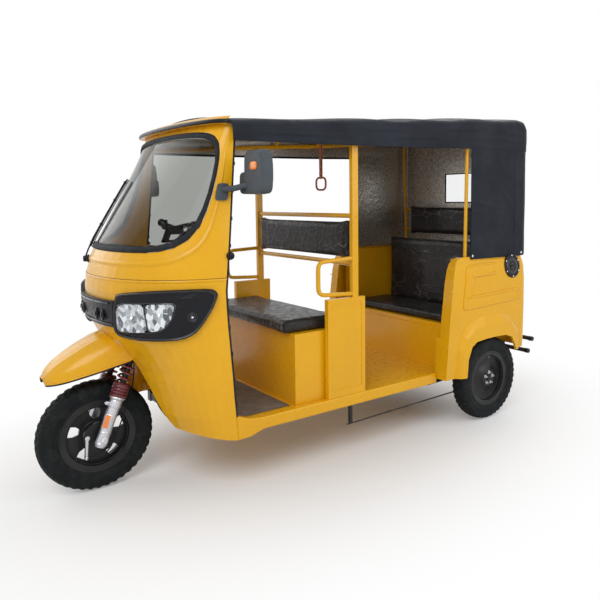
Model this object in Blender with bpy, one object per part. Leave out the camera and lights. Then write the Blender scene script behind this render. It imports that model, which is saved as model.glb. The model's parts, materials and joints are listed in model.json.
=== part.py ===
"""Electric three-wheel passenger rickshaw: cab, passenger body, chassis, fork and wheels.

Lengths are in metres. +Z is up, the front faces -Y and the left side is +X.
Y is measured from the front axle while building, and the whole is centred at the end.
"""
import math

import bmesh
import bpy
import numpy as np
from mathutils import Matrix, Vector

GAP = 0.0003

# Running gear
AXLE_Z = 0.255
WHEEL_R = 0.255
TYRE_HALF_W = 0.050
RIM_SEAT_R = 0.595 * WHEEL_R
RIM_LIP_R = 0.651 * WHEEL_R
WHEELBASE = 2.12
SPINDLE_R = 0.010
HALF_SHAFT_R = 0.0145
RAKE = math.radians(21.8)
FORK_HALF_W = 0.097
SLIDER_R = 0.026
STANCHION_R = 0.014
SPRING_R = 0.030
SPRING_WIRE_R = 0.006
SLIDER_TOP = 0.200
SPRING_TURNS = 6
SPRING_SIDES = 7
CROWN_T = 0.024
CROWN_S = 0.385
HEAD_BOTTOM_S = 0.440
HEAD_TOP_S = 0.640
HEAD_OUTER_R = 0.030
STEM_R = 0.016
STEM_TOP_S = 1.010
GRIP_X = 0.330
GRIP_Z = 1.224
GRIP_SWEEP = 0.060

# Body levels and widths
BODY_HALF_W = 0.510
TRACK_HALF = BODY_HALF_W + 0.040
PANEL_OUT_X = BODY_HALF_W + 0.082
SEAT_HALF_W = BODY_HALF_W - 0.045
WALL = 0.012
FLOOR_TOP = 0.330
FLOOR_T = 0.020
SILL_BOTTOM = 0.277
SILL_TOP = 0.335
SILL_W = 0.040
SEAM_Z = 1.000
CAB_TOP = 1.668
DECK_TOP = 0.465
DECK_T = 0.015
BELT_Z = 1.000
BULKHEAD_Y = 0.400
DOOR_END_Y = WHEELBASE - WHEEL_R - 0.123
BENCH_Y = DOOR_END_Y + 0.108
REAR_Y = WHEELBASE + WHEEL_R + 0.090
REAR_PANEL_T = 0.020
REAR_CORNER_R = 0.050
SIDE_END_Y = REAR_Y - 0.050
PANEL_RETURN = 0.015
PANEL_T = 0.018
INNER_WALL_X = TRACK_HALF - TYRE_HALF_W - 0.025
UPPER_WALL_X = BODY_HALF_W - 0.004
WALL_STEP_Z = AXLE_Z + WHEEL_R + 0.050
INNER_WALL_T = 0.014
TAIL_Z = 0.404
LEDGE_X = PANEL_OUT_X - 0.0295 - PANEL_T - GAP

# Chassis
RAIL_X = BODY_HALF_W - 0.180
RAIL_W = 0.040
RAIL_BOTTOM = 0.255
RAIL_TOP = FLOOR_TOP - FLOOR_T - GAP
RAIL_FRONT_Y = 0.365
KICK_TOP = DECK_TOP - DECK_T - GAP
KICK_BOTTOM = 0.405
SPRING_X = (RAIL_X + RAIL_W / 2 + INNER_WALL_X + INNER_WALL_T) / 2 + 0.005
LEAF_HALF_W = 0.022
LEAF_T = 0.009
SPRING_FRONT_Y = WHEELBASE - 0.390
SPRING_REAR_Y = REAR_Y - 0.070
SPRING_FRONT_Z = 0.2586
SPRING_RISE = 0.140
SPRING_SAG = 0.022
SPRING_STEPS = 9
AXLE_TUBE_R = 0.026
BRAKE_ROD_X = BODY_HALF_W - 0.055
BRAKE_ROD_R = 0.004
BRACKET_Y = 1.137
BRACKET_BOTTOM = 0.164
LEVER_BOTTOM = 0.176
BUMPER_R = 0.014
BUMPER_HALF_W = BODY_HALF_W + 0.040
# Bumper tubes: distance behind the rear panel's inner face, height
BUMPER_PLACES = ((0.151, 0.4206), (0.110, 0.345))

# Seats, pillars and roof
SEAT_FRONT_Y = 0.800
SEAT_BOX_TOP = 0.688
DRIVER_SEAT_TOP = 0.755
BENCH_BOX_TOP = 0.605
BENCH_TOP = 0.660
BENCH_DEPTH = 0.350
BACKREST_T = 0.057
BACKREST_TOP = 1.105
PAD_LOW_Z = 1.090
PAD_HIGH_Z = 1.317
PILLAR_Y = 1.149
PILLAR_X = BODY_HALF_W - 0.010
PILLAR_T = 0.025
PILLAR_HALF_D = 0.0185
PILLAR_FOOT_TOP = 0.844
LOOP_TOP = 1.044
LOOP_BOTTOM = 0.862
LOOP_FRONT_Y = 0.925
RAIL_LOW_Z = 1.015
RAIL_HIGH_Z = 1.262
TUBE_R = 0.011
ROOF_TUBE_R = 0.0125
CANOPY_FRONT_Y = 0.464
CANOPY_REAR_Y = REAR_Y + 0.040
CANOPY_T = 0.006
CANOPY_CROWN = 0.040
CANOPY_CORNER_R = 0.055
RAIL_DROP = 0.075
ROOF_RAIL_INSET = 0.029
SIDE_CURTAIN_Y = REAR_Y - 0.504
SIDE_CURTAIN_Z = 0.998
STRAP_Y = 1.286

CAB_FACETS = 24
WHEEL_FACETS = 28

# Cab plan at each level: height, nose, inset of the half width, rear edge, exponent of the curve
CAB_ROWS = (
    (0.250, 0.250, 0.005, 0.470, 2.2),
    (0.300, 0.232, 0.003, 0.465, 2.2),
    (0.370, 0.200, 0.001, 0.458, 2.2),
    (0.470, 0.178, 0.000, 0.450, 2.2),
    (0.570, 0.146, 0.000, 0.444, 2.2),
    (0.650, 0.103, 0.000, 0.438, 2.2),
    (0.720, 0.052, 0.000, 0.433, 2.2),
    (0.780, 0.026, 0.000, 0.428, 2.2),
    (0.860, 0.010, 0.001, 0.424, 2.2),
    (0.940, 0.006, 0.002, 0.422, 2.2),
    (1.000, 0.016, 0.003, 0.428, 2.2),
    (1.080, 0.040, 0.005, 0.436, 2.2),
    (1.155, 0.075, 0.007, 0.444, 2.2),
    (1.314, 0.170, 0.011, 0.458, 2.2),
    (1.530, 0.302, 0.017, 0.477, 2.2),
    (CAB_TOP, 0.385, 0.020, 0.489, 2.2),
)

# Front wheel cut-out in the lower shell: half width, height
ARCH_HALF = ((0.0, 0.690), (0.100, 0.686), (0.132, 0.655), (0.1404, 0.6175), (0.1754, 0.515),
             (0.2048, 0.445), (0.237, 0.3875), (0.264, 0.3325), (0.289, 0.300), (0.305, 0.270),
             (0.340, 0.180), (0.0, 0.180))

# Lower edge of the lower shell, seen from the side: y, z
CAB_HEM = ((0.150, 0.200), (0.150, 0.330), (0.265, 0.301), (0.400, 0.269), (0.480, 0.251),
           (0.480, 0.200))

# Windshield opening, left half: plan angle in degrees, height
SCREEN_HALF = ((0, 1.112), (25, 1.112), (43.5, 1.114), (55.5, 1.128), (64, 1.160), (70, 1.213),
               (73.3, 1.300), (75, 1.400), (75, 1.510), (73, 1.572), (66, 1.612), (53, 1.636),
               (30, 1.646), (0, 1.649))
SCREEN_POINTS = 44
SEAL_PHI = 0.072
SEAL_Z = 0.027

# Roof cap rows: share of the way back, overhang beyond the cab, height outside and inside
CAP_ROWS = (
    (0.0, 0.030, 0.003, GAP),
    (0.0, 0.032, 0.014, 0.005),
    (0.0, 0.024, 0.019, 0.011),
    (0.10, 0.020, 0.028, 0.021),
    (0.35, 0.020, 0.040, 0.033),
    (0.70, 0.020, 0.048, 0.041),
    (1.0, 0.020, 0.052, 0.045),
)

# Lamp moulding and its lens: plan angle in degrees, height
LAMP_OUT = 0.018
LAMP_SHAPE = ((21.0, 0.765), (26.8, 0.932), (31.0, 0.943), (48, 0.957), (65, 0.962), (82, 0.960),
              (85, 0.944), (85.2, 0.926), (82.3, 0.872), (76, 0.805), (71, 0.768), (63, 0.745),
              (49.5, 0.738), (33.5, 0.737), (23.0, 0.744))
LENS_SHAPE = ((24.5, 0.780), (27.8, 0.893), (42, 0.901), (60.5, 0.903), (62.5, 0.890),
              (60, 0.838), (54, 0.790), (44, 0.777), (27, 0.770))
BAND_ROWS = ((0.785, 21.0), (0.815, 22.0), (0.850, 23.2), (0.880, 24.2), (0.905, 25.0))

# Wiper from foot to tip: plan angle in degrees, height
WIPER_PATH = ((-23, 1.058), (-22.5, 1.100), (-22, 1.160), (-21, 1.260), (-19, 1.430))

# Mirror housing: place and growth of each section
MIRROR_X = 0.6525
MIRROR_Z = 1.457
MIRROR_HALF_W = 0.0825
MIRROR_HALF_H = 0.095
MIRROR_ROWS = ((0.484, -0.012), (0.490, -0.003), (0.515, 0.0), (0.536, -0.003))

# Mudguard rows from root to tip: top y, top z, half width, edge y, edge z
GUARD_ROWS = (
    (0.045, 0.735, 0.150, 0.130, 0.613),
    (0.000, 0.718, 0.148, 0.065, 0.600),
    (-0.060, 0.688, 0.140, -0.010, 0.583),
    (-0.120, 0.652, 0.126, -0.085, 0.566),
    (-0.165, 0.620, 0.106, -0.145, 0.552),
    (-0.197, 0.588, 0.080, -0.185, 0.543),
    (-0.213, 0.560, 0.046, -0.207, 0.537),
)

GUARD_T = 0.005

# Fork leg: distance from the axle along the steering axis, radius
FORK_LEG_ROWS = ((-0.034, 0.020), (-0.022, SLIDER_R), (0.150, SLIDER_R), (0.158, 0.029),
                 (0.182, 0.029), (0.190, SLIDER_R), (SLIDER_TOP - 0.006, SPRING_R + 0.004),
                 (SLIDER_TOP, SPRING_R + 0.004))

# Brake cables, from the arm on the hub upwards and from the head down to the rail
HUB_CABLE = ((0.0672, -0.0600, 0.172), (0.074, -0.015, 0.166), (0.078, 0.035, 0.200),
             (0.070, 0.085, 0.290), (0.066, 0.120, 0.380), (0.061, 0.148, 0.450),
             (0.050, 0.166, 0.530), (0.042, 0.169, 0.5978))
FRAME_CABLE = ((0.0235, 0.2740, 0.535), (0.050, 0.256, 0.524), (0.100, 0.240, 0.500), (0.150, 0.215, 0.470),
               (0.195, 0.212, 0.430), (0.228, 0.222, 0.385), (0.248, 0.250, 0.340),
               (0.270, 0.290, 0.305), (0.305, 0.340, 0.285), (0.330, 0.3612, 0.282))

# Canopy over the doorways: share of its length, half width beyond the body's, shoulder, lower edge
CANOPY_OPEN_ROWS = (
    (0.0, 0.020, 1.690, 1.600),
    (0.292, 0.020, 1.730, 1.610),
    (0.561, 0.024, 1.762, 1.620),
    (0.763, 0.040, 1.785, 1.630),
    (1.0, 0.061, 1.818, 1.646),
)
# Canopy with side curtains: share of its length, half width beyond the body's, shoulder
CANOPY_CLOSED_ROWS = (
    (0.0, 0.061, 1.819),
    (0.440, 0.064, 1.838),
    (0.807, 0.064, 1.850),
    (0.908, 0.062, 1.848),
    (0.972, 0.050, 1.830),
    (1.0, 0.028, 1.800),
)

# Rear side panel, seen from the side: distance behind the doorway's end, height
PANEL_FRONT = ((0.003, 0.302), (0.012, 0.513), (0.022, 0.647), (0.048, 0.862), (0.064, 0.937),
               (0.082, 0.975), (0.110, 1.000), (0.150, 1.009))
# The same panel's section: height, inset of its outer face from the widest
PANEL_SECTION = ((0.290, 0.012), (0.450, 0.003), (0.650, 0.0), (0.850, 0.002), (0.930, 0.008),
                 (0.972, 0.016), (0.990, 0.028), (1.016, 0.031))
# Wheel arch and the edge of its flare, in wheel radii from the axle: back, up
ARCH_OPENING = ((-0.922, 0.184), (-0.882, 0.608), (-0.765, 0.882), (-0.600, 0.985),
                (-0.275, 1.016), (0.078, 1.024), (0.471, 1.012), (0.706, 0.929), (0.824, 0.725),
                (0.882, 0.584))
FLARE_OUTLINE = ((-1.169, 0.184), (-1.098, 0.882), (-0.980, 1.196), (-0.706, 1.431),
                 (-0.267, 1.557), (0.118, 1.573), (0.408, 1.549), (0.749, 1.439), (1.024, 1.165),
                 (1.090, 0.584))
# Flare across: share from the outer edge to the opening, how far it stands out
FLARE_SECTION = ((0.0, -0.002), (0.18, 0.014), (0.40, 0.026), (1.0, 0.030))
FLARE_T = 0.016
# Raised C on the side panel: distance behind the doorway's end, height
PANEL_EMBOSS = ((0.165, 0.921), (0.180, 0.945), (0.205, 0.956), (0.400, 0.962), (0.412, 0.950),
                (0.412, 0.912), (0.402, 0.902), (0.230, 0.896), (0.217, 0.882), (0.196, 0.782),
                (0.206, 0.772), (0.615, 0.786), (0.628, 0.775), (0.630, 0.738), (0.618, 0.727),
                (0.180, 0.710), (0.150, 0.716), (0.140, 0.739))
EMBOSS_H = 0.004

COLOURS = {
    "yellow": ((0.80, 0.40, 0.025), 0.0, 0.30),
    "black_plastic": ((0.02, 0.02, 0.022), 0.0, 0.45),
    "black_steel": ((0.025, 0.025, 0.028), 0.3, 0.40),
    "rubber": ((0.03, 0.031, 0.031), 0.0, 0.80),
    "silver": ((0.60, 0.60, 0.62), 0.9, 0.35),
    "maroon": ((0.16, 0.015, 0.025), 0.3, 0.35),
    "glass": ((0.35, 0.40, 0.40), 0.0, 0.05),
    "seal": ((0.045, 0.05, 0.055), 0.0, 0.60),
    "leather": ((0.045, 0.040, 0.040), 0.0, 0.45),
    "canvas": ((0.028, 0.030, 0.038), 0.0, 0.85),
    "red_lens": ((0.50, 0.01, 0.01), 0.0, 0.15),
    "battery": ((0.10, 0.10, 0.11), 0.0, 0.55),
    "strap": ((0.50, 0.12, 0.03), 0.0, 0.70),
    "mirror_shell": ((0.09, 0.11, 0.12), 0.0, 0.50),
}


def clear_scene():
    for ob in list(bpy.data.objects):
        bpy.data.objects.remove(ob)


def material(name, key):
    colour, metallic, roughness = COLOURS[key]
    mat = bpy.data.materials.new(name)
    mat.use_nodes = True
    bsdf = mat.node_tree.nodes["Principled BSDF"]
    bsdf.inputs["Base Color"].default_value = (*colour, 1.0)
    bsdf.inputs["Metallic"].default_value = metallic
    bsdf.inputs["Roughness"].default_value = roughness
    return mat


def solid(name, verts, faces, key=None, smooth=False):
    """Object from points and faces, with outward normals."""
    mesh = bpy.data.meshes.new(name)
    mesh.from_pydata([tuple(v) for v in verts], [], faces)
    bm = bmesh.new()
    bm.from_mesh(mesh)
    bmesh.ops.recalc_face_normals(bm, faces=bm.faces)
    bm.to_mesh(mesh)
    bm.free()
    ob = bpy.data.objects.new(name, mesh)
    bpy.context.scene.collection.objects.link(ob)
    if key:
        mesh.materials.append(material(name, key))
    if smooth:
        shade(ob)
    return ob


def shade(ob, angle=35):
    ob.data.shade_smooth()
    ob.data.set_sharp_from_angle(angle=math.radians(angle))


def loft(name, rings, key=None, closed=False, smooth=True):
    """Solid through rings of equal count; closed joins the last ring to the first."""
    count = len(rings[0])
    verts = [p for ring in rings for p in ring]
    faces = []
    last = len(rings) if closed else len(rings) - 1
    for i in range(last):
        a, b = i * count, ((i + 1) % len(rings)) * count
        for j in range(count):
            k = (j + 1) % count
            faces.append((a + j, a + k, b + k))
            faces.append((a + j, b + k, b + j))
    if not closed:
        faces.append(tuple(range(count)))
        faces.append(tuple((len(rings) - 1) * count + j for j in range(count)))
    return solid(name, verts, faces, key, smooth)


def slab(name, outer, inner, key=None, smooth=True):
    """Solid between two grids of points with the same rows and columns."""
    rows, cols = len(outer), len(outer[0])
    verts = [p for row in outer for p in row] + [p for row in inner for p in row]
    base = rows * cols
    faces = []
    for i in range(rows - 1):
        for j in range(cols - 1):
            a, b = i * cols + j, (i + 1) * cols + j
            for shift in (0, base):
                faces.append((shift + a, shift + a + 1, shift + b + 1))
                faces.append((shift + a, shift + b + 1, shift + b))
    rim = [j for j in range(cols)]
    rim += [i * cols + cols - 1 for i in range(1, rows)]
    rim += [(rows - 1) * cols + j for j in range(cols - 2, -1, -1)]
    rim += [i * cols for i in range(rows - 2, 0, -1)]
    for n, a in enumerate(rim):
        b = rim[(n + 1) % len(rim)]
        faces.append((a, b, base + b, base + a))
    return solid(name, verts, faces, key, smooth)


def box(name, xs, ys, zs, key=None, bevel=0.0):
    verts = [(x, y, z) for x in xs for y in ys for z in zs]
    faces = [(0, 1, 3, 2), (4, 6, 7, 5), (0, 4, 5, 1), (2, 3, 7, 6), (0, 2, 6, 4), (1, 5, 7, 3)]
    ob = solid(name, verts, faces, key)
    if bevel:
        mod = ob.modifiers.new("edge", "BEVEL")
        mod.width = bevel
        mod.segments = 3
        shade(ob)
    return ob


def prism(name, outline, axis, lo, hi, key=None):
    """Outline of two coordinates extruded along the third axis."""
    def place(p, t):
        q = list(p)
        q.insert(axis, t)
        return tuple(q)
    return loft(name, [[place(p, lo) for p in outline], [place(p, hi) for p in outline]], key,
                smooth=False)


def rounded(points, radius, steps=5):
    """Open path with its inner corners turned into arcs."""
    pts = [Vector(p) for p in points]
    out = [pts[0]]
    for before, corner, after in zip(pts, pts[1:], pts[2:]):
        a, b = (before - corner).normalized(), (after - corner).normalized()
        half = a.angle(b) / 2
        reach = radius / math.tan(half)
        start, end = corner + a * reach, corner + b * reach
        for n in range(steps + 1):
            t = n / steps
            out.append(start * (1 - t) ** 2 + corner * 2 * t * (1 - t) + end * t ** 2)
    out.append(pts[-1])
    return out


def tube(name, path, radius, key=None, sides=10):
    """Round bar along a path, closed at both ends."""
    pts = [Vector(p) for p in path]
    tangents = []
    for n in range(len(pts)):
        a, b = pts[max(n - 1, 0)], pts[min(n + 1, len(pts) - 1)]
        tangents.append((b - a).normalized())
    side = tangents[0].orthogonal().normalized()
    rings = []
    for p, t in zip(pts, tangents):
        side = (side - t * side.dot(t)).normalized()
        up = t.cross(side)
        rings.append([p + side * (radius * math.cos(a)) + up * (radius * math.sin(a))
                      for a in (2 * math.pi * k / sides for k in range(sides))])
    return loft(name, rings, key)


def revolve(name, profile, centre, axis, key=None, sides=36):
    """Closed profile of radius and distance turned about a level axis through centre."""
    axis = Vector(axis).normalized()
    side = Vector((0, 0, -1))
    up = axis.cross(side)
    rings = []
    for k in range(sides):
        a = 2 * math.pi * k / sides
        d = side * math.cos(a) + up * math.sin(a)
        rings.append([Vector(centre) + d * r + axis * s for r, s in profile])
    return loft(name, rings, key, closed=True)


def cylinder(name, a, b, radius, key=None, sides=16):
    return tube(name, [a, b], radius, key, sides)


def turned(name, rows, centre, key=None, sides=24):
    """Solid turned about the X direction; rows give distance from centre and radius."""
    rings = []
    for x, r in rows:
        rings.append([(centre[0] + x, centre[1] + r * math.cos(a), centre[2] + r * math.sin(a))
                      for a in (2 * math.pi * (k + 0.3) / sides for k in range(sides))])
    return loft(name, rings, key)


def boolean(ob, other, operation):
    """Applies one Boolean and removes the other object."""
    mod = ob.modifiers.new("cut", "BOOLEAN")
    mod.operation = operation
    mod.solver = "EXACT"
    mod.object = other
    graph = bpy.context.evaluated_depsgraph_get()
    mesh = bpy.data.meshes.new_from_object(ob.evaluated_get(graph))
    mesh.name = ob.name
    ob.modifiers.clear()
    ob.data = mesh
    bpy.data.objects.remove(other)
    return ob


def weld(parts):
    for other in parts[1:]:
        boolean(parts[0], other, "UNION")
    return parts[0]


def set_origin(ob, point):
    ob.data.transform(Matrix.Translation(-Vector(point)))
    ob.location = point


def mirror_x(points):
    return [(-p[0], *p[1:]) for p in points]


def steer_point(s, x=0.0, forward=0.0):
    """Point on the steering axis at s from the axle, moved sideways and forward."""
    return Vector((x, s * math.sin(RAKE) - forward * math.cos(RAKE),
                   AXLE_Z + s * math.cos(RAKE) + forward * math.sin(RAKE)))


def cab_row(z):
    """Nose, half width, rear edge and exponent of the cab's plan at one height."""
    zs = [row[0] for row in CAB_ROWS]
    nose, inset, rear, p = (float(np.interp(z, zs, [row[k] for row in CAB_ROWS]))
                            for k in range(1, 5))
    return nose, BODY_HALF_W - inset, rear, p


def cab_point(phi, z, out=0.0):
    """Point of the cab skin at plan angle phi, moved outwards in plan."""
    nose, half, rear, p = cab_row(z)
    s, c = math.sin(phi), max(math.cos(phi), 0.0)
    x = half * math.copysign(abs(s) ** (2 / p), s)
    y = rear - (rear - nose) * c ** (2 / p)
    gx = math.copysign(abs(x / half) ** (p - 1), x) / half
    gy = -(abs(rear - y) / (rear - nose)) ** (p - 1) / (rear - nose)
    size = math.hypot(gx, gy)
    return Vector((x + out * gx / size, y + out * gy / size, z))


def cab_front_y(x, z):
    nose, half, rear, p = cab_row(z)
    return rear - (rear - nose) * (1 - min(abs(x / half), 1.0) ** p) ** (1 / p)


def cab_shell(name, levels, key=None, extra=0.0):
    """Curved wall of the cab between two levels; extra thickens it on both faces."""
    phis = np.radians(np.linspace(-90, 90, CAB_FACETS + 1))
    outer = [[cab_point(a, z, extra) for a in phis] for z in levels]
    inner = [[cab_point(a, z, -WALL - extra) for a in phis] for z in levels]
    return slab(name, outer, inner, key)


def cab_core(out):
    """Closed body of the whole cab with its skin moved outwards, to cut seats with."""
    phis = np.radians(np.linspace(-90, 90, CAB_FACETS + 1))
    rings = []
    for row in CAB_ROWS:
        ring = [cab_point(a, row[0], out) for a in phis]
        back = row[3] + 0.20
        rings.append(ring + [(ring[-1][0], back, row[0]), (ring[0][0], back, row[0])])
    return loft("core", rings)


def eased_loop(shape, count=0, keep=0.78):
    """Closed loop with its corners cut once; with a count, its points are spaced evenly."""
    pts = [np.array(p, float) for p in shape]
    eased = [q for a, b in zip(pts, pts[1:] + pts[:1])
             for q in (keep * a + (1 - keep) * b, (1 - keep) * a + keep * b)]
    if not count:
        return [tuple(p) for p in eased]
    ring = np.array(eased + eased[:1])
    steps = np.hypot(np.diff(ring[:, 0]) * BODY_HALF_W, np.diff(ring[:, 1]))
    run = np.concatenate(([0.0], np.cumsum(steps)))
    marks = np.linspace(0, run[-1], count, endpoint=False)
    return list(zip(np.interp(marks, run, ring[:, 0]), np.interp(marks, run, ring[:, 1])))


def skin_loop(shape, side=1, count=0):
    """Loop on the cab skin from a table of degrees and heights, on the chosen side."""
    loop = eased_loop([(math.radians(a), z) for a, z in shape], count)
    return [(a * side, z) for a, z in loop]


def shrink(loop, amount_phi, amount_z):
    """Loop drawn in towards its middle by a fixed amount on each axis."""
    mid = np.mean(np.array(loop), axis=0)
    reach = np.max(np.abs(np.array(loop) - mid), axis=0)
    scale = ((reach[0] - amount_phi) / reach[0], (reach[1] - amount_z) / reach[1])
    return [(mid[0] + (a - mid[0]) * scale[0], mid[1] + (z - mid[1]) * scale[1])
            for a, z in loop]


def cab_patch(name, loop, low, high, key=None, rings=3):
    """Plate on the cab skin inside a loop, from offset low to offset high."""
    mid = np.mean(np.array(loop), axis=0)
    verts, faces = [], []
    count = len(loop)
    for off in (high, low):
        verts.append(cab_point(mid[0], mid[1], off))
        for k in range(1, rings + 1):
            t = k / rings
            verts += [cab_point(mid[0] + (a - mid[0]) * t, mid[1] + (z - mid[1]) * t, off)
                      for a, z in loop]
    half = 1 + rings * count
    for base in (0, half):
        for j in range(count):
            k = (j + 1) % count
            faces.append((base, base + 1 + j, base + 1 + k))
            for r in range(rings - 1):
                a, b = base + 1 + r * count, base + 1 + (r + 1) * count
                faces.append((a + j, a + k, b + k))
                faces.append((a + j, b + k, b + j))
    rim = 1 + (rings - 1) * count
    for j in range(count):
        k = (j + 1) % count
        faces.append((rim + j, rim + k, half + rim + k))
        faces.append((rim + j, half + rim + k, half + rim + j))
    return solid(name, verts, faces, key, smooth=True)


def cab_band(name, outer_loop, inner_loop, profile, key):
    """Closed bead between two loops; profile gives share across and offset."""
    rings = []
    for (a0, z0), (a1, z1) in zip(outer_loop, inner_loop):
        rings.append([cab_point(a0 + (a1 - a0) * t, z0 + (z1 - z0) * t, off)
                      for t, off in profile])
    return loft(name, rings, key, closed=True)


def build_cab():
    lower_levels = [row[0] for row in CAB_ROWS if row[0] < SEAM_Z] + [SEAM_Z - GAP]
    lower = cab_shell("cab_lower_shell", lower_levels, "yellow")
    outline = list(ARCH_HALF[:-1]) + [(-x, z) for x, z in ARCH_HALF[-2:0:-1]]
    boolean(lower, prism("arch_cutter", outline, 1, -0.2, BULKHEAD_Y - 0.02), "DIFFERENCE")
    reach = BODY_HALF_W + 0.1
    boolean(lower, prism("hem_cutter", CAB_HEM, 0, -reach, reach), "DIFFERENCE")
    shade(lower)

    upper_levels = [SEAM_Z] + [row[0] for row in CAB_ROWS if row[0] > SEAM_Z]
    upper = cab_shell("cab_upper_shell", upper_levels, "yellow")
    screen = skin_loop(SCREEN_HALF + tuple((-a, z) for a, z in SCREEN_HALF[-2:0:-1]),
                       count=SCREEN_POINTS)
    deep = -WALL - 0.006
    proud = 0.014
    boolean(upper, cab_patch("screen_cutter", screen, deep, proud, rings=12), "DIFFERENCE")
    shade(upper)
    seal_out = shrink(screen, 0.0030, 0.0008)
    seal_in = shrink(screen, SEAL_PHI, SEAL_Z)
    bead = ((0.0, -WALL), (0.0, 0.004), (0.25, 0.009), (0.6, 0.009), (1.0, 0.003), (1.0, -WALL))
    seal = cab_band("windshield_seal", seal_out, seal_in, bead, "seal")
    seat = cab_shell("seat", upper_levels, extra=GAP)
    hole = cab_patch("hole", shrink(screen, 0.0012, 0.0005), deep, proud, rings=12)
    boolean(seal, boolean(seat, hole, "DIFFERENCE"), "DIFFERENCE")
    shade(seal)
    pane = shrink(screen, SEAL_PHI + 0.0024, SEAL_Z + 0.0008)
    cab_patch("windshield_glass", pane, -0.008, -0.003, "glass", rings=2)

    build_roof_cap()
    build_lamps()
    build_mudguard()
    build_dashboard()
    build_mirrors()
    build_wiper()


def build_roof_cap():
    """Shallow cap over the cab with a lip that overhangs the windshield."""
    phis = np.radians(np.linspace(-90, 90, CAB_FACETS + 1))
    outer, inner = [], []
    back = CANOPY_FRONT_Y - 0.0005
    for n, (share, out, rise, under) in enumerate(CAP_ROWS):
        row_out, row_in = [], []
        for a in phis:
            p = cab_point(a, CAB_TOP, out)
            q = cab_point(a, CAB_TOP, -WALL - 0.004)
            fall = 1 - 0.35 * min(abs(p.x) / BODY_HALF_W, 1.0) ** 3 * (share > 0)
            for r, row, z in ((p, row_out, rise * fall), (q, row_in, under * fall)):
                y = min(r.y, back - 0.010)
                row.append((r.x, y + (back - y) * share, CAB_TOP + z))
        outer.append(row_out)
        inner.append(row_in)
    slab("cab_roof_cap", outer, inner, "yellow")


def build_lamps():
    for side, label in ((1, "left"), (-1, "right")):
        plate = cab_patch("lamp_bezel_" + label, skin_loop(LAMP_SHAPE, side), -0.006, LAMP_OUT,
                          "black_plastic")
        boolean(plate, cab_core(GAP), "DIFFERENCE")
        lens = skin_loop(LENS_SHAPE, side)
        floor = LAMP_OUT - 0.010
        boolean(plate, cab_patch("lens_cutter", lens, floor, LAMP_OUT + 0.006), "DIFFERENCE")
        shade(plate)
        cab_patch("headlamp_" + label, shrink(lens, 0.0015, 0.0006), floor + 0.0008,
                  LAMP_OUT + 0.003, "glass")
    outer, inner = [], []
    for z, half in BAND_ROWS:
        phis = np.radians(np.linspace(-half, half, 11))
        outer.append([cab_point(a, z, LAMP_OUT - 0.002) for a in phis])
        inner.append([cab_point(a, z, -0.006) for a in phis])
    band = slab("lamp_centre_band", outer, inner, "black_plastic")
    boolean(band, cab_core(GAP), "DIFFERENCE")
    shade(band)


def build_mudguard():
    thetas = np.radians(np.linspace(-90, 90, 15))
    outer, inner = [], []
    tip = len(GUARD_ROWS) - 1
    for n, (top_y, top_z, half, edge_y, edge_z) in enumerate(GUARD_ROWS):
        row_out, row_in = [], []
        for a in thetas:
            s, c = math.sin(a), math.cos(a)
            x = half * math.copysign(abs(s) ** 0.8, s)
            z = edge_z + (top_z - edge_z) * c ** 0.8
            y = edge_y + (top_y - edge_y) * c
            low_x, low_z = x * (1 - GUARD_T / half), z - GUARD_T * c
            low_y = y + GUARD_T if n == tip else y
            if n == 0:
                y = cab_front_y(x, z) - 0.001
                low_y = cab_front_y(low_x, low_z) - 0.001
            row_out.append((x, y, z))
            row_in.append((low_x, low_y, low_z))
        outer.append(row_out)
        inner.append(row_in)
    slab("front_mudguard", outer, inner, "yellow")


def build_dashboard():
    """Upright bulkhead behind the front wheel with a shelf at the seam."""
    half = BODY_HALF_W - 0.070
    top = SEAM_Z - 0.015
    wall = box("dashboard", (-half, half), (BULKHEAD_Y, BULKHEAD_Y + WALL),
               (FLOOR_TOP + GAP, top), "yellow")
    phis = np.radians(np.linspace(-62, 62, 21))
    rim = [cab_point(a, top, -WALL - 0.005) for a in phis]
    back = BULKHEAD_Y + WALL / 2
    outline = [(p.x, p.y) for p in rim] + [(half - 0.010, back), (0.010 - half, back)]
    weld([wall, prism("shelf", outline, 2, top - 0.020, top - 0.002)])
    hole = cylinder("column_cutter", steer_point(0.70), steer_point(0.86), 0.034)
    boolean(wall, hole, "DIFFERENCE")


def build_mirrors():
    for side, label in ((1, "left"), (-1, "right")):
        foot_shape = [(math.degrees(a), z) for a, z in
                      super_box(math.radians(82.2), 1.375, math.radians(5.2), 0.0375, 16)]
        foot = cab_patch("mirror_" + label, skin_loop(foot_shape, side), -0.005, 0.009,
                         "mirror_shell", rings=2)
        start = cab_point(math.radians(82.2) * side, 1.385, 0.004)
        path = rounded([start, (side * 0.555, start.y + 0.030, 1.390),
                        (side * 0.615, 0.512, 1.410)], 0.02, 3)
        arm = tube("arm", path, 0.013, sides=8)
        rings = []
        for y, grow in MIRROR_ROWS:
            loop = super_box(MIRROR_X * side, MIRROR_Z, MIRROR_HALF_W + grow,
                             MIRROR_HALF_H + grow, 20)
            rings.append([(x, y, z) for x, z in loop])
        low = MIRROR_Z - MIRROR_HALF_H + 0.050
        base = [[(x, y, z) for x, z in super_box(side * (MIRROR_X - 0.040), low, 0.090, 0.048, 16)]
                for y in (0.492, 0.530)]
        weld([foot, arm, loft("shell", rings), loft("base", base)])
        boolean(foot, cab_core(GAP), "DIFFERENCE")
        shade(foot)


def super_box(mid_x, mid_z, half_x, half_z, count=28, power=5.0):
    loop = []
    for n in range(count):
        t = 2 * math.pi * n / count
        c, s = math.cos(t), math.sin(t)
        loop.append((mid_x + half_x * math.copysign(abs(c) ** (2 / power), c),
                     mid_z + half_z * math.copysign(abs(s) ** (2 / power), s)))
    return loop


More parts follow.
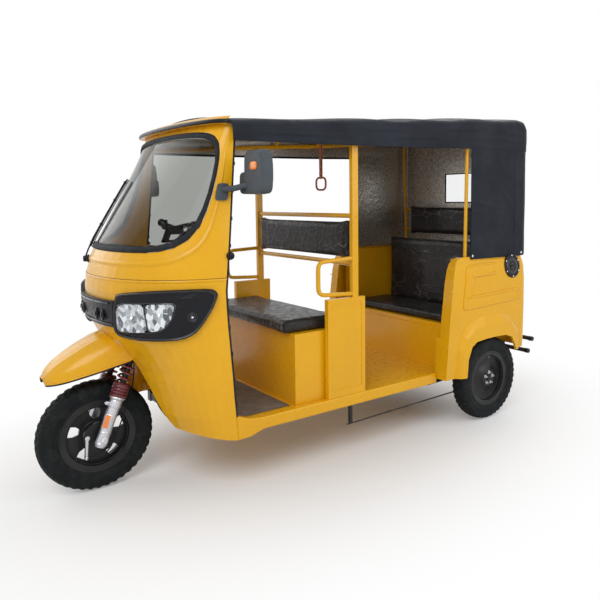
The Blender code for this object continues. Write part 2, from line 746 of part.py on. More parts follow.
def build_wiper():
    path = [cab_point(math.radians(a), z, 0.020) for a, z in WIPER_PATH]
    arm = tube("wiper", path, 0.004, "black_plastic", sides=6)
    angle, z = math.radians(WIPER_PATH[0][0]), WIPER_PATH[0][1]
    foot = cylinder("foot", cab_point(angle, z, -0.010), cab_point(angle, z, 0.024), 0.012,
                    sides=10)
    weld([arm, foot])
    boolean(arm, cab_core(GAP), "DIFFERENCE")
    shade(arm)


def spring_row(t):
    """Place along the leaf spring: y, top and thickness at share t of its length."""
    y = SPRING_FRONT_Y + (SPRING_REAR_Y - SPRING_FRONT_Y) * t
    top = SPRING_FRONT_Z + SPRING_RISE * t - SPRING_SAG * math.sin(math.pi * t)
    return y, top, LEAF_T + 2 * LEAF_T * math.sin(math.pi * t)


def spring_edge(y):
    """Top and underside of the leaf spring at y."""
    rows = [spring_row(t) for t in np.linspace(0, 1, SPRING_STEPS)]
    ys = [row[0] for row in rows]
    top = float(np.interp(y, ys, [row[1] for row in rows]))
    under = float(np.interp(y, ys, [row[1] - row[2] for row in rows]))
    return top, under


def build_chassis():
    kick_y = WHEELBASE - 0.250
    side = ((RAIL_FRONT_Y, RAIL_BOTTOM), (kick_y, RAIL_BOTTOM), (kick_y + 0.120, KICK_BOTTOM),
            (REAR_Y - GAP, KICK_BOTTOM), (REAR_Y - GAP, KICK_TOP), (kick_y + 0.090, KICK_TOP),
            (kick_y - 0.015, RAIL_TOP), (RAIL_FRONT_Y, RAIL_TOP))
    parts = [prism("chassis_frame", side, 0, RAIL_X - RAIL_W / 2, RAIL_X + RAIL_W / 2,
                   "black_steel"),
             prism("rail", side, 0, -RAIL_X - RAIL_W / 2, -RAIL_X + RAIL_W / 2)]
    low, high = (RAIL_BOTTOM + RAIL_TOP) / 2, (KICK_BOTTOM + KICK_TOP) / 2
    for y, z in ((RAIL_FRONT_Y + 0.003, low), (0.960, low), (DOOR_END_Y - 0.182, low),
                 (REAR_Y - 0.060, high)):
        parts.append(box("cross", (-RAIL_X, RAIL_X), (y, y + 0.040), (z - 0.018, z + 0.018)))
    for s in (1, -1):
        xs = sorted((s * RAIL_X, s * (SPRING_X + LEAF_HALF_W)))
        for y, z in ((SPRING_FRONT_Y - 0.005, 0.030), (SPRING_REAR_Y - 0.025, 0.026)):
            seat = max(spring_edge(y)[0], spring_edge(y + 0.030)[0]) + GAP
            parts.append(box("hanger", xs, (y, y + 0.030), (seat, seat + z)))
    parts.append(box("arm", (RAIL_X, BRAKE_ROD_X + 0.008), (BRACKET_Y - 0.003, BRACKET_Y + 0.020),
                     (RAIL_BOTTOM + 0.010, RAIL_BOTTOM + 0.020)))
    parts.append(box("bracket", (BRAKE_ROD_X - 0.008, BRAKE_ROD_X + 0.008),
                     (BRACKET_Y, BRACKET_Y + 0.017), (BRACKET_BOTTOM, RAIL_BOTTOM + 0.014)))
    head = steer_point((HEAD_BOTTOM_S + HEAD_TOP_S) / 2)
    parts.append(cylinder("neck", head, (0, RAIL_FRONT_Y + 0.013, low), 0.022, sides=16))
    parts.append(cylinder("head", steer_point(HEAD_BOTTOM_S), steer_point(HEAD_TOP_S),
                          HEAD_OUTER_R, sides=24))
    frame = weld(parts)
    bore = cylinder("bore", steer_point(HEAD_BOTTOM_S - 0.05), steer_point(HEAD_TOP_S + 0.05),
                    STEM_R + 0.001, sides=24)
    boolean(frame, bore, "DIFFERENCE")


def build_floor():
    half = BODY_HALF_W - SILL_W
    box("floor_pan", (-half + GAP, half - GAP), (BULKHEAD_Y + 0.005, BENCH_Y),
        (FLOOR_TOP - FLOOR_T, FLOOR_TOP), "yellow")
    edge = [(cab_row(z)[2] + 0.0005, z) for z in (0.370, 0.300, 0.254)]
    side = [edge[2], (0.530, 0.256), (0.600, SILL_BOTTOM), (DOOR_END_Y, SILL_BOTTOM),
            (DOOR_END_Y, SILL_TOP), (0.600, SILL_TOP), (0.530, SILL_TOP + 0.007), edge[0], edge[1]]
    for s, label in ((1, "left"), (-1, "right")):
        xs = sorted((s * half, s * BODY_HALF_W))
        ob = prism("sill_" + label, side, 0, xs[0], xs[1], "yellow")
        mod = ob.modifiers.new("edge", "BEVEL")
        mod.width = 0.006
        mod.segments = 2


def build_seats():
    half = SEAT_HALF_W
    front, back = SEAT_FRONT_Y, PILLAR_Y - 0.030
    seat = box("driver_seat_box", (-half, half), (front, back), (FLOOR_TOP + GAP, SEAT_BOX_TOP),
               "yellow")
    boolean(seat, box("inside", (-half + WALL, half - WALL), (front + WALL, back - WALL),
                      (FLOOR_TOP - 0.05, SEAT_BOX_TOP - WALL)), "DIFFERENCE")
    box("battery_pack", (-0.300, 0.300), (front + 0.050, front + 0.280), (FLOOR_TOP + GAP, 0.560),
        "battery")
    box("driver_cushion", (-half, half), (front - 0.065, back + 0.003),
        (SEAT_BOX_TOP + GAP, DRIVER_SEAT_TOP), "leather", 0.018)
    bench = box("passenger_seat_box", (-half, half), (BENCH_Y, BENCH_Y + 0.400),
                (DECK_TOP + GAP, BENCH_BOX_TOP), "yellow")
    boolean(bench, box("inside", (-half + WALL, half - WALL), (BENCH_Y + WALL, BENCH_Y + 0.450),
                       (DECK_TOP - 0.050, BENCH_BOX_TOP - WALL)), "DIFFERENCE")
    weld([bench, box("apron", (-half, half), (BENCH_Y - 0.010, BENCH_Y + 0.004),
                     (FLOOR_TOP + GAP, BENCH_BOX_TOP - 0.025))])
    back = BENCH_Y + BENCH_DEPTH
    box("passenger_cushion", (-half, half), (BENCH_Y - 0.005, back),
        (BENCH_BOX_TOP + GAP, BENCH_TOP), "leather", 0.018)
    box("passenger_backrest", (-half, half), (back + 0.005, back + 0.005 + BACKREST_T),
        (BENCH_BOX_TOP + GAP, BACKREST_TOP), "leather", 0.018)


def build_pillars():
    parts = []
    head = canopy_at(PILLAR_Y)[1] - RAIL_DROP - ROOF_TUBE_R - 3 * GAP
    foot_ys = (PILLAR_Y - 0.176, PILLAR_Y + 0.061)
    for s in (1, -1):
        xs = sorted((s * (PILLAR_X - PILLAR_T), s * PILLAR_X))
        name = "pillar_frame" if s == 1 else "post"
        parts.append(box(name, xs, (PILLAR_Y - PILLAR_HALF_D, PILLAR_Y + PILLAR_HALF_D),
                         (PILLAR_FOOT_TOP - 0.060, head), "yellow" if s == 1 else None))
        xs = sorted((s * (PILLAR_X - PILLAR_T - 0.002), s * (PILLAR_X + 0.002)))
        panel = box("lower", xs, foot_ys, (SILL_TOP + GAP, PILLAR_FOOT_TOP))
        xs = sorted((s * (PILLAR_X - 0.001), s * (PILLAR_X + 0.010)))
        boolean(panel, box("recess", xs, (foot_ys[0] + 0.022, foot_ys[1] - 0.022),
                           (SILL_TOP + 0.040, PILLAR_FOOT_TOP - 0.029)), "DIFFERENCE")
        parts.append(panel)
    reach = PILLAR_X - 0.010
    for z in (RAIL_LOW_Z, RAIL_HIGH_Z):
        parts.append(cylinder("bar", (-reach, PILLAR_Y, z), (reach, PILLAR_Y, z), ROOF_TUBE_R,
                              sides=12))
    weld(parts)
    edge = ROOF_TUBE_R + GAP
    box("driver_backrest_pad", (-SEAT_HALF_W, SEAT_HALF_W), (PILLAR_Y - 0.021, PILLAR_Y + 0.021),
        (RAIL_LOW_Z + edge, RAIL_HIGH_Z - edge), "leather", 0.012)
    for s, label in ((1, "left"), (-1, "right")):
        x = s * (PILLAR_X - PILLAR_T / 2)
        end = PILLAR_Y - PILLAR_HALF_D - GAP
        path = [(x, end, LOOP_TOP), (x, end - 0.02, LOOP_TOP), (x, LOOP_FRONT_Y, LOOP_TOP - 0.009),
                (x, LOOP_FRONT_Y, LOOP_BOTTOM + 0.009), (x, end - 0.02, LOOP_BOTTOM),
                (x, end, LOOP_BOTTOM)]
        path = rounded(path, 0.040, 4)
        tube("grab_loop_" + label, path, TUBE_R, "yellow", 8)


def canopy_rows():
    """Sections of the canopy: y, half width, shoulder height, lower edge height."""
    start = SIDE_CURTAIN_Y - 0.006
    rows = [(CANOPY_FRONT_Y + (start - CANOPY_FRONT_Y) * share, BODY_HALF_W + out, top, low)
            for share, out, top, low in CANOPY_OPEN_ROWS]
    rows += [(SIDE_CURTAIN_Y + (CANOPY_REAR_Y - SIDE_CURTAIN_Y) * share, BODY_HALF_W + out, top,
              SIDE_CURTAIN_Z) for share, out, top in CANOPY_CLOSED_ROWS]
    return rows


def canopy_at(y):
    """Half width and shoulder height of the canopy at y."""
    rows = canopy_rows()
    ys = [row[0] for row in rows]
    return tuple(float(np.interp(y, ys, [row[k] for row in rows])) for k in (1, 2))


def canopy_section(half, top, low, inset):
    """Round-cornered arch from the left lower edge over to the right."""
    r = CANOPY_CORNER_R - inset
    half -= inset
    top -= inset
    pts = [(half, low), (half, low + (top - r - low) * 0.5), (half, top - r)]
    for a in (22.5, 45, 67.5):
        pts.append((half - r + r * math.cos(math.radians(a)),
                    top - r + r * math.sin(math.radians(a))))
    for x in (half - r, 0.35, 0.20):
        pts.append((x, top + CANOPY_CROWN * (1 - (x / (half - r)) ** 2)))
    return pts + [(0.0, top + CANOPY_CROWN)] + [(-x, z) for x, z in reversed(pts)]


def build_roof():
    rows = canopy_rows()
    outer, inner = ([[(x, y, z) for x, z in canopy_section(half, top, low, inset)]
                     for y, half, top, low in rows] for inset in (0.0, CANOPY_T))
    slab("canopy", outer, inner, "canvas")

    def rail_point(side, y, lower=0.0):
        half, top = canopy_at(y)
        return side * (half - ROOF_RAIL_INSET), y, top - RAIL_DROP - lower

    def bow_path(y):
        half, top = canopy_at(y)
        flat = half - CANOPY_CORNER_R
        level = top - CANOPY_T - TUBE_R - 0.0035
        arc = [(x, y, level + CANOPY_CROWN * (1 - (x / flat) ** 2))
               for x in (flat - 0.025, 0.35, 0.20, 0.0)]
        path = [rail_point(1, y)] + arc
        return path + [(-p[0], p[1], p[2]) for p in reversed(path[:-1])]

    post_y, rear_y = SIDE_CURTAIN_Y - 0.013, REAR_Y - 0.025
    parts = []
    for s in (1, -1):
        path = [rail_point(s, y) for y in (CANOPY_FRONT_Y + 0.028, PILLAR_Y, 1.4, 1.6, post_y,
                                           rear_y - 0.040)]
        path.append(rail_point(s, rear_y + 0.010, 0.006))
        parts.append(tube("roof_frame" if s == 1 else "rail", path, ROOF_TUBE_R,
                          "yellow" if s == 1 else None, 8))
        for y, x in ((post_y, LEDGE_X - 0.0115), (rear_y, UPPER_WALL_X + INNER_WALL_T / 2)):
            top = rail_point(s, y)
            parts.append(cylinder("post", (s * x, y, BELT_Z + 2 * GAP), top, 0.0105, sides=8))
    for y in (0.580, STRAP_Y, 1.620, SIDE_CURTAIN_Y + 0.059, rear_y - 0.010):
        parts.append(tube("bow", bow_path(y), TUBE_R, sides=6))
    foot_x, head = UPPER_WALL_X + INNER_WALL_T / 2, rail_point(1, rear_y)
    for z in (PAD_LOW_Z + 0.040, PAD_HIGH_Z - 0.037):
        x = foot_x + (head[0] - foot_x) * (z - BELT_Z) / (head[2] - BELT_Z)
        parts.append(cylinder("bar", (-x, rear_y, z), (x, rear_y, z), 0.009, sides=8))
    weld(parts)
    box("rear_pad", (-SEAT_HALF_W + 0.025, SEAT_HALF_W - 0.025),
        (rear_y - 0.050, rear_y - 0.009 - GAP), (PAD_LOW_Z, PAD_HIGH_Z), "leather", 0.012)

    y = REAR_Y + REAR_PANEL_T + 2 * GAP
    half, top = canopy_at(y + CANOPY_T)
    arch = canopy_section(half, top, SIDE_CURTAIN_Z, CANOPY_T + 0.0008)
    curtain = prism("rear_curtain", arch, 1, y, y + CANOPY_T, "canvas")
    boolean(curtain, box("pane", (-0.150, 0.150), (y - 0.1, y + 0.1), (1.330, 1.540)),
            "DIFFERENCE")

    bow_z = max(p[2] for p in bow_path(STRAP_Y))
    strap = box("hand_strap", (-0.010, 0.010), (STRAP_Y - 0.003, STRAP_Y + 0.003),
                (1.470, bow_z - TUBE_R - GAP), "strap")
    ring = []
    for x, z in super_box(0.0, 1.440, 0.048, 0.036, 20, 3.0):
        ring.append([(x * (1 + u), STRAP_Y + v, 1.440 + (z - 1.440) * (1 + u))
                     for u, v in ((-0.12, -0.006), (0.12, -0.006), (0.12, 0.006), (-0.12, 0.006))])
    weld([strap, loft("ring", ring, closed=True)])


def panel_out(z):
    """Outer face of the rear body's side at one height."""
    inset = float(np.interp(z, [row[0] for row in PANEL_SECTION], [row[1] for row in PANEL_SECTION]))
    return PANEL_OUT_X - inset


def panel_block(name, side, extra=0.0, inner=None):
    """Bar along the vehicle with the side panel's section; extra moves its outer face."""
    outline = [(side * (panel_out(z) + extra), z) for z, _ in PANEL_SECTION]
    if inner is None:
        wall, upper = INNER_WALL_X + INNER_WALL_T, UPPER_WALL_X + INNER_WALL_T
        step = WALL_STEP_Z - INNER_WALL_T
        inner = ((upper, outline[-1][1]), (upper, step), (wall, step), (wall, outline[0][1]))
        inner = [(x + 2 * GAP, z) for x, z in inner]
    outline += [(side * x, z) for x, z in inner]
    return prism(name, outline, 1, DOOR_END_Y - 0.05, SIDE_END_Y + 0.05)


def inset_path(points, distance):
    """Open path of two coordinates moved to its right by a distance."""
    pts = [np.array(p, float) for p in points]
    out = []
    for n, p in enumerate(pts):
        run = pts[min(n + 1, len(pts) - 1)] - pts[max(n - 1, 0)]
        run /= np.linalg.norm(run)
        out.append((p[0] + run[1] * distance, p[1] - run[0] * distance))
    return out


def arch_points(table):
    return [(WHEELBASE + u * WHEEL_R, AXLE_Z + v * WHEEL_R) for u, v in table]


def build_side_panel(side, label):
    front = [(DOOR_END_Y + d, z) for d, z in PANEL_FRONT]
    top = front[-1][1]
    tail = [(SIDE_END_Y, top), (SIDE_END_Y, TAIL_Z), (WHEELBASE + WHEEL_R, TAIL_Z),
            (DOOR_END_Y + 0.160, front[0][1])]
    reach = sorted((side * 0.3, side * (PANEL_OUT_X + 0.2)))
    skin = panel_block("side_panel_" + label, side)
    skin.data.materials.append(material("side_panel_" + label, "yellow"))
    boolean(skin, prism("outline", front + tail, 0, *reach), "INTERSECT")
    hollow = panel_block("hollow", side, -PANEL_T, ((0.35, 1.2), (0.35, 0.2)))
    rear = inset_path(front, PANEL_RETURN)
    rear = [(rear[0][0], 0.15)] + rear[1:] + [(rear[-1][0] + 0.001, 1.3)]
    boolean(hollow, prism("inside", rear + [(SIDE_END_Y + 0.2, 1.3), (SIDE_END_Y + 0.2, 0.15)],
                          0, *reach), "INTERSECT")
    boolean(skin, hollow, "DIFFERENCE")

    flare = arch_points(FLARE_OUTLINE)
    opening = arch_points(ARCH_OPENING)
    middle = np.array((WHEELBASE, AXLE_Z))
    cut = [tuple(middle + (np.array(p) - middle) * 0.965) for p in flare]
    cut = [(cut[0][0], 0.150)] + cut + [(cut[-1][0], 0.150)]
    boolean(skin, prism("cut", cut, 0, *reach), "DIFFERENCE")
    outer, inner = [], []
    for share, out in FLARE_SECTION:
        line = [np.array(p) * (1 - share) + np.array(q) * share for p, q in zip(flare, opening)]
        xs = [panel_out(p[1]) * (1 - share) + PANEL_OUT_X * share + out for p in line]
        outer.append([(side * x, p[0], p[1]) for x, p in zip(xs, line)])
        inner.append([(side * (x - FLARE_T), p[0], p[1]) for x, p in zip(xs, line)])
    weld([skin, slab("flare", outer, inner)])

    emboss = panel_block("emboss", side, EMBOSS_H, ((PANEL_OUT_X - 0.040, 1.016),
                                                    (PANEL_OUT_X - 0.020, 0.290)))
    shape = [(DOOR_END_Y + d, z) for d, z in PANEL_EMBOSS]
    boolean(emboss, prism("shape", shape, 0, *reach), "INTERSECT")
    weld([skin, emboss])
    shade(skin)


def build_rear_body():
    for s, label in ((1, "left"), (-1, "right")):
        build_side_panel(s, label)
    wall, upper = INNER_WALL_X + INNER_WALL_T, UPPER_WALL_X + INNER_WALL_T
    step, under = WALL_STEP_Z - INNER_WALL_T, BELT_Z - INNER_WALL_T
    half = ((LEDGE_X, BELT_Z), (UPPER_WALL_X, BELT_Z), (UPPER_WALL_X, WALL_STEP_Z),
            (INNER_WALL_X, WALL_STEP_Z), (INNER_WALL_X, DECK_TOP))
    low = ((wall, DECK_TOP - DECK_T), (wall, step), (upper, step), (upper, under),
           (LEDGE_X, under))
    outline = [*half, *mirror_x(reversed(half)), *mirror_x(reversed(low)), *low]
    tub = prism("rear_tub", outline, 1, BENCH_Y + 0.005, REAR_Y - GAP, "yellow")
    for s in (1, -1):
        xs = sorted((s * (upper + GAP / 2), s * PANEL_OUT_X))
        for ys in ((BENCH_Y - 0.1, DOOR_END_Y + 0.172), (SIDE_END_Y - 0.002, REAR_Y + 0.1)):
            boolean(tub, box("notch", xs, ys, (under - 0.02, BELT_Z + 0.02)), "DIFFERENCE")

    levels = [TAIL_Z] + [z for z, _ in PANEL_SECTION if TAIL_Z < z < 0.98] + [BELT_Z]
    outer, inner = [], []
    for z in levels:
        lean = float(np.interp(z, (0.92, BELT_Z), (0.0, REAR_PANEL_T - 0.005)))
        for rows, inset, r in ((outer, 0.0, REAR_CORNER_R), (inner, PANEL_T, 0.020)):
            x = panel_out(z) - inset
            y = REAR_Y if inset else REAR_Y + REAR_PANEL_T - lean
            row = [(x, SIDE_END_Y + GAP, z)]
            row += [(x - r + r * math.cos(a), y - r + r * math.sin(a), z)
                    for a in np.radians((0, 22.5, 45, 67.5, 90))]
            row += [(0.2, y, z)]
            rows.append(row + [(-p[0], p[1], z) for p in reversed(row)])
    panel = slab("rear_panel", outer, inner, "yellow")
    y = REAR_Y + REAR_PANEL_T
    weld([panel, box("plate_seat", (-0.120, 0.120), (y - 0.003, y + 0.006), (0.680, 0.800))])
    shade(panel)
    y += GAP
    edge = PANEL_OUT_X - REAR_CORNER_R - 0.007
    for s, label in ((1, "left"), (-1, "right")):
        xs = sorted((s * (edge - 0.100), s * edge))
        box("tail_lamp_" + label, xs, (y, y + 0.030), (0.640, 0.860), "red_lens", 0.008)
    high, low = ((REAR_Y + out, z) for out, z in BUMPER_PLACES)
    parts = [cylinder("rear_bumper" if p is high else "low", (-BUMPER_HALF_W, *p),
                      (BUMPER_HALF_W, *p), BUMPER_R, "black_steel" if p is high else None, 14)
             for p in (high, low)]
    for x in (-RAIL_X, RAIL_X):
        parts.append(box("stay", (x - 0.010, x + 0.010), (y, high[0]),
                         (high[1] - 0.009, high[1] + 0.009)))
        parts.append(cylinder("link", (x, *high), (x, *low), 0.009, sides=10))
    weld(parts)


def build_suspension():
    tube_end, stub_end = TRACK_HALF - 0.065, TRACK_HALF + 0.025
    half = ((stub_end, HALF_SHAFT_R), (tube_end + 0.0002, HALF_SHAFT_R), (tube_end, AXLE_TUBE_R))
    drive = ((0.005, AXLE_TUBE_R), (0.010, 0.085), (0.040, 0.105), (0.080, 0.105),
             (0.110, 0.085), (0.115, AXLE_TUBE_R))
    rows = [(-x, r) for x, r in half] + list(drive) + list(reversed(half))
    parts = [turned("rear_axle", rows, (0, WHEELBASE, AXLE_Z), "black_steel", 20)]
    ys = (WHEELBASE - 0.025, WHEELBASE + 0.025)
    seat = [(ys[0], AXLE_Z), *((y, spring_edge(y)[1] - 3 * GAP) for y in ys), (ys[1], AXLE_Z)]
    for x in (-SPRING_X, SPRING_X):
        parts.append(prism("seat", seat, 0, x - LEAF_HALF_W, x + LEAF_HALF_W))
    xs = (BRAKE_ROD_X - 0.006, BRAKE_ROD_X + 0.006)
    lever_y = WHEELBASE - 0.068
    parts.append(box("lever", xs, (lever_y, lever_y + 0.016), (LEVER_BOTTOM, AXLE_Z - 0.005)))
    parts.append(box("lever arm", xs, (lever_y, WHEELBASE), (AXLE_Z - 0.019, AXLE_Z - 0.005)))
    y, z = WHEELBASE - 0.02, AXLE_Z + 0.005
    parts.append(cylinder("motor", (0.0, y, z), (-0.20, y, z), 0.080, sides=24))
    weld(parts)
    for s, label in ((1, "left"), (-1, "right")):
        xs = (s * SPRING_X - LEAF_HALF_W, s * SPRING_X + LEAF_HALF_W)
        rows = []
        for t in np.linspace(0, 1, SPRING_STEPS):
            y, top, thick = spring_row(t)
            rows.append([(xs[0], y, top - thick), (xs[1], y, top - thick), (xs[1], y, top),
                         (xs[0], y, top)])
        loft("leaf_spring_" + label, rows, "black_steel", smooth=False)
    rod = BRAKE_ROD_R + GAP
    tube("brake_rod", [(BRAKE_ROD_X, BRACKET_Y - 0.012, BRACKET_BOTTOM - rod),
                       (BRAKE_ROD_X, BRACKET_Y + 0.025, BRACKET_BOTTOM - rod),
                       (BRAKE_ROD_X, lever_y - 0.008, LEVER_BOTTOM - rod),
                       (BRAKE_ROD_X, lever_y + 0.030, LEVER_BOTTOM - rod)],
         BRAKE_ROD_R, "black_steel", sides=8)


def build_steering():
    origin = steer_point(0.0)
    made = []
    side = FORK_HALF_W + STANCHION_R + 0.006
    crown = box("fork", (-side, side), (-0.026, 0.026), (-CROWN_T / 2, CROWN_T / 2),
                "black_steel")
    crown.data.transform(Matrix.Translation(steer_point(CROWN_S)) @ Matrix.Rotation(-RAKE, 4, "X"))
    parts = [crown, cylinder("stem", steer_point(CROWN_S), steer_point(STEM_TOP_S), STEM_R,
                             sides=24)]
    for s in (1, -1):
        parts.append(cylinder("stanchion", steer_point(SLIDER_TOP + GAP, s * FORK_HALF_W),
                              steer_point(CROWN_S, s * FORK_HALF_W), STANCHION_R, sides=16))
    made.append(weld(parts))
    for s, label in ((1, "left"), (-1, "right")):
        x = s * FORK_HALF_W
        leg = turned_along("fork_leg_" + label, FORK_LEG_ROWS, x, "silver")
        hole = cylinder("eye", (x - 0.05, 0, AXLE_Z), (x + 0.05, 0, AXLE_Z), SPINDLE_R + GAP)
        boolean(leg, hole, "DIFFERENCE")
        shade(leg)
        made.append(leg)
        path = []
        low = SLIDER_TOP + SPRING_WIRE_R * 0.92 + GAP
        span = CROWN_S - CROWN_T / 2 - SPRING_WIRE_R * 0.92 - GAP - low
        for n in range(SPRING_TURNS * SPRING_SIDES + 1):
            a = 2 * math.pi * n / SPRING_SIDES
            path.append(steer_point(low + span * n / (SPRING_TURNS * SPRING_SIDES),
                                    x + SPRING_R * math.cos(a), SPRING_R * math.sin(a)))
        made.append(tube("fork_spring_" + label, path, SPRING_WIRE_R * 0.92, "maroon", sides=5))
    end = FORK_HALF_W + SLIDER_R + 0.006
    rows = ((-end, SPINDLE_R), (0.050, SPINDLE_R), (0.0502, 0.072), (0.058, 0.072),
            (0.0582, SPINDLE_R), (end, SPINDLE_R))
    spindle = turned("front_axle", rows, (0, 0, AXLE_Z), "silver")
    arm = prism("arm", ((-0.046, AXLE_Z + 0.017), (-0.062, AXLE_Z + 0.017),
                        (-0.069, AXLE_Z - 0.089), (-0.053, AXLE_Z - 0.089)), 0, 0.0545, 0.0637)
    made.append(weld([spindle, arm]))
    top = steer_point(STEM_TOP_S)
    y, z, half, sweep = top.y + 0.030, GRIP_Z, GRIP_X, GRIP_SWEEP
    side = [(half, y + sweep, z), (0.170, y, z), (0.060, top.y, top.z + 0.012)]
    path = rounded(side + mirror_x(reversed(side)), 0.05, 3)
    grips = [tube("handlebar", path, TUBE_R, "black_steel", sides=8)]
    for s in (1, -1):
        grips.append(cylinder("grip", (s * (half - 0.095), y + sweep * 0.41, z),
                              (s * (half + 0.005), y + sweep * 1.03, z), 0.017, sides=10))
    grips.append(box("pump", (0.085, 0.135), (y - 0.070, y - 0.010), (z - 0.045, z - 0.005)))
    grips.append(cylinder("clamp", steer_point(STEM_TOP_S + GAP), steer_point(STEM_TOP_S + 0.030),
                          0.024))
    made.append(weld(grips))
    made.append(cord("hub_brake_cable", HUB_CABLE, 0.003))
    for ob in made:
        set_origin(ob, origin)
    cord("front_brake_cable", FRAME_CABLE, 0.004)


def turned_along(name, rows, x, key):
    """Round leg along the steering axis; rows give distance from the axle and radius."""
    rings = []
    for s, r in rows:
        rings.append([steer_point(s, x + r * math.cos(a), r * math.sin(a))
                      for a in (2 * math.pi * k / 16 for k in range(16))])
    return loft(name, rings, key)


def cord(name, points, radius):
    """Round cord along a smooth curve through the points."""
    pts = [Vector(p) for p in points]
    pts = [pts[0] * 2 - pts[1]] + pts + [pts[-1] * 2 - pts[-2]]
    path = []
    for a, b, c, d in zip(pts, pts[1:], pts[2:], pts[3:]):
        steps = max(2, round((c - b).length / (radius * 6)))
        for n in range(steps):
            t = n / steps
            path.append(0.5 * (2 * b + (c - a) * t + (2 * a - 5 * b + 4 * c - d) * t * t
                               + (3 * b - a - 3 * c + d) * t ** 3))
    path.append(pts[-2])
    curve = bpy.data.curves.new(name, "CURVE")
    curve.dimensions = "3D"
    spline = curve.splines.new("POLY")
    spline.points.add(len(path) - 1)
    for point, p in zip(spline.points, path):
        point.co = (*p, 1.0)
    curve.bevel_depth = radius
    curve.bevel_resolution = 2
    curve.use_fill_caps = True
    curve.materials.append(material(name, "rubber"))
    ob = bpy.data.objects.new(name, curve)
    bpy.context.scene.collection.objects.link(ob)
    return ob


def wheel(label, centre, bore, slots, outward):
    half = [(RIM_SEAT_R + GAP, 0.0340), (RIM_LIP_R + 0.001, 0.0346), (0.804 * WHEEL_R, TYRE_HALF_W),
            (0.941 * WHEEL_R, 0.880 * TYRE_HALF_W), (0.992 * WHEEL_R, 0.460 * TYRE_HALF_W)]
    tyre = [(r, -s) for r, s in half] + [(WHEEL_R, 0.0)] + list(reversed(half))
    ob = revolve(label + "_tyre", tyre, centre, (1, 0, 0), "rubber", sides=WHEEL_FACETS)
    set_origin(ob, centre)
    d = 0.005
    well, hub = RIM_SEAT_R - 0.012, 0.045
    rim = ((bore, -0.034), (hub, -0.034), (hub + 0.003, -d), (well - 0.001, -d), (well, -0.038),
           (RIM_LIP_R, -0.0395), (RIM_LIP_R, -0.0352), (RIM_SEAT_R, -0.0350),
           (RIM_SEAT_R, 0.0350), (RIM_LIP_R, 0.0352), (RIM_LIP_R, 0.0395), (well, 0.038),
           (well - 0.001, d), (hub, d), (hub - 0.002, 0.034), (bore, 0.034))
    disc = revolve(label + "_rim", rim, centre, (outward, 0, 0), "black_steel", sides=WHEEL_FACETS)
    low, high = hub + 0.033, well - 0.014
    mean = (low + high) / 2
    for k in range(slots):
        mid = 2 * math.pi * (k + 0.25) / slots
        pts = []
        for r, a in ((low, -0.16), (low, 0.16), (mean, 0.26), (high, 0.24), (high, -0.16),
                     (mean, -0.22)):
            pts.append((centre[1] + r * math.cos(mid + a), centre[2] + r * math.sin(mid + a)))
        cut = prism("slot", pts, 0, centre[0] - 0.02, centre[0] + 0.02)
        boolean(disc, cut, "DIFFERENCE")
    shade(disc)
    set_origin(disc, centre)


def build_wheels():
    wheel("front", (0.0, 0.0, AXLE_Z), SPINDLE_R + 0.001, 5, 1)
    for s, label in ((1, "rear_left"), (-1, "rear_right")):
        wheel(label, (s * TRACK_HALF, WHEELBASE, AXLE_Z), HALF_SHAFT_R + 0.001, 6, s)


def centre_on_box():
    """Moves the whole so that its bounding box is centred on the origin in plan."""
    bpy.context.view_layer.update()
    graph = bpy.context.evaluated_depsgraph_get()
    lows, highs = [], []
    for ob in bpy.data.objects:
        mesh = ob.evaluated_get(graph).to_mesh()
        pts = np.array([ob.matrix_world @ v.co for v in mesh.vertices])
        lows.append(pts.min(axis=0))
        highs.append(pts.max(axis=0))
    low, high = np.min(lows, axis=0), np.max(highs, axis=0)
    shift = Vector((-(low[0] + high[0]) / 2, -(low[1] + high[1]) / 2, -low[2]))
    for ob in bpy.data.objects:
        ob.location += shift


def main():
    clear_scene()
    build_chassis()
    build_floor()
    build_cab()
    build_seats()
    build_pillars()
    build_roof()
    build_rear_body()
    build_suspension()
    build_steering()
    build_wheels()
    centre_on_box()


main()
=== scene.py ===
"""Looks of the electric rickshaw: finishes, cloth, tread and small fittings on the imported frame."""

import json
import math

import bmesh
import bpy
import numpy as np
from mathutils import Matrix, Vector, noise
from mathutils.bvhtree import BVHTree


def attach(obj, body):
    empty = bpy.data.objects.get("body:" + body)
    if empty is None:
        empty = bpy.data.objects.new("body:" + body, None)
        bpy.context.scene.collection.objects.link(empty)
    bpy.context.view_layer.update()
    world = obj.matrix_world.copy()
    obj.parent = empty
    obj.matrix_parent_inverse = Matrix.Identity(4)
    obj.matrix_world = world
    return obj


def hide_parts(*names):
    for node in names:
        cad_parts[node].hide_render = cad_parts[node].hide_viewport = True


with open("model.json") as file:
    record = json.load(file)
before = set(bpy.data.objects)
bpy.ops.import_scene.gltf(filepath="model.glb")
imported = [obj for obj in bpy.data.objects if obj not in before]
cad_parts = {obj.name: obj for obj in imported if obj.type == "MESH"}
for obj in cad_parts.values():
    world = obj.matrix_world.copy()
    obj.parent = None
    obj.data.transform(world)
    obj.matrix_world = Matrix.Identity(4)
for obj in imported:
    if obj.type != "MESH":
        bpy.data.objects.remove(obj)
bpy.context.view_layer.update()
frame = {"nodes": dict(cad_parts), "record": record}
nodes = frame["nodes"]


# Camera and lamps

CAMERA_AT = (2.98, -1.973456, 1.323)
AZIMUTH = 49.6
PITCH = 5.33
LENS = 36.82
SHIFT = (-0.1358, -0.0648)
LIGHTS = (
    # name, place, side of its square, power
    ("key", (3.2, -3.4, 4.2), 3.0, 132.0),
    ("fill", (-3.5, -2.5, 3.0), 3.5, 46.0),
    ("side", (4.2, 2.0, 2.6), 3.0, 55.0),
    ("back", (-1.5, 4.5, 3.5), 3.0, 54.0),
)
LIT_POINT = (0, 0, 0.7)
WORLD_LIGHT = 0.43
FLOOR_HALF = 14.0
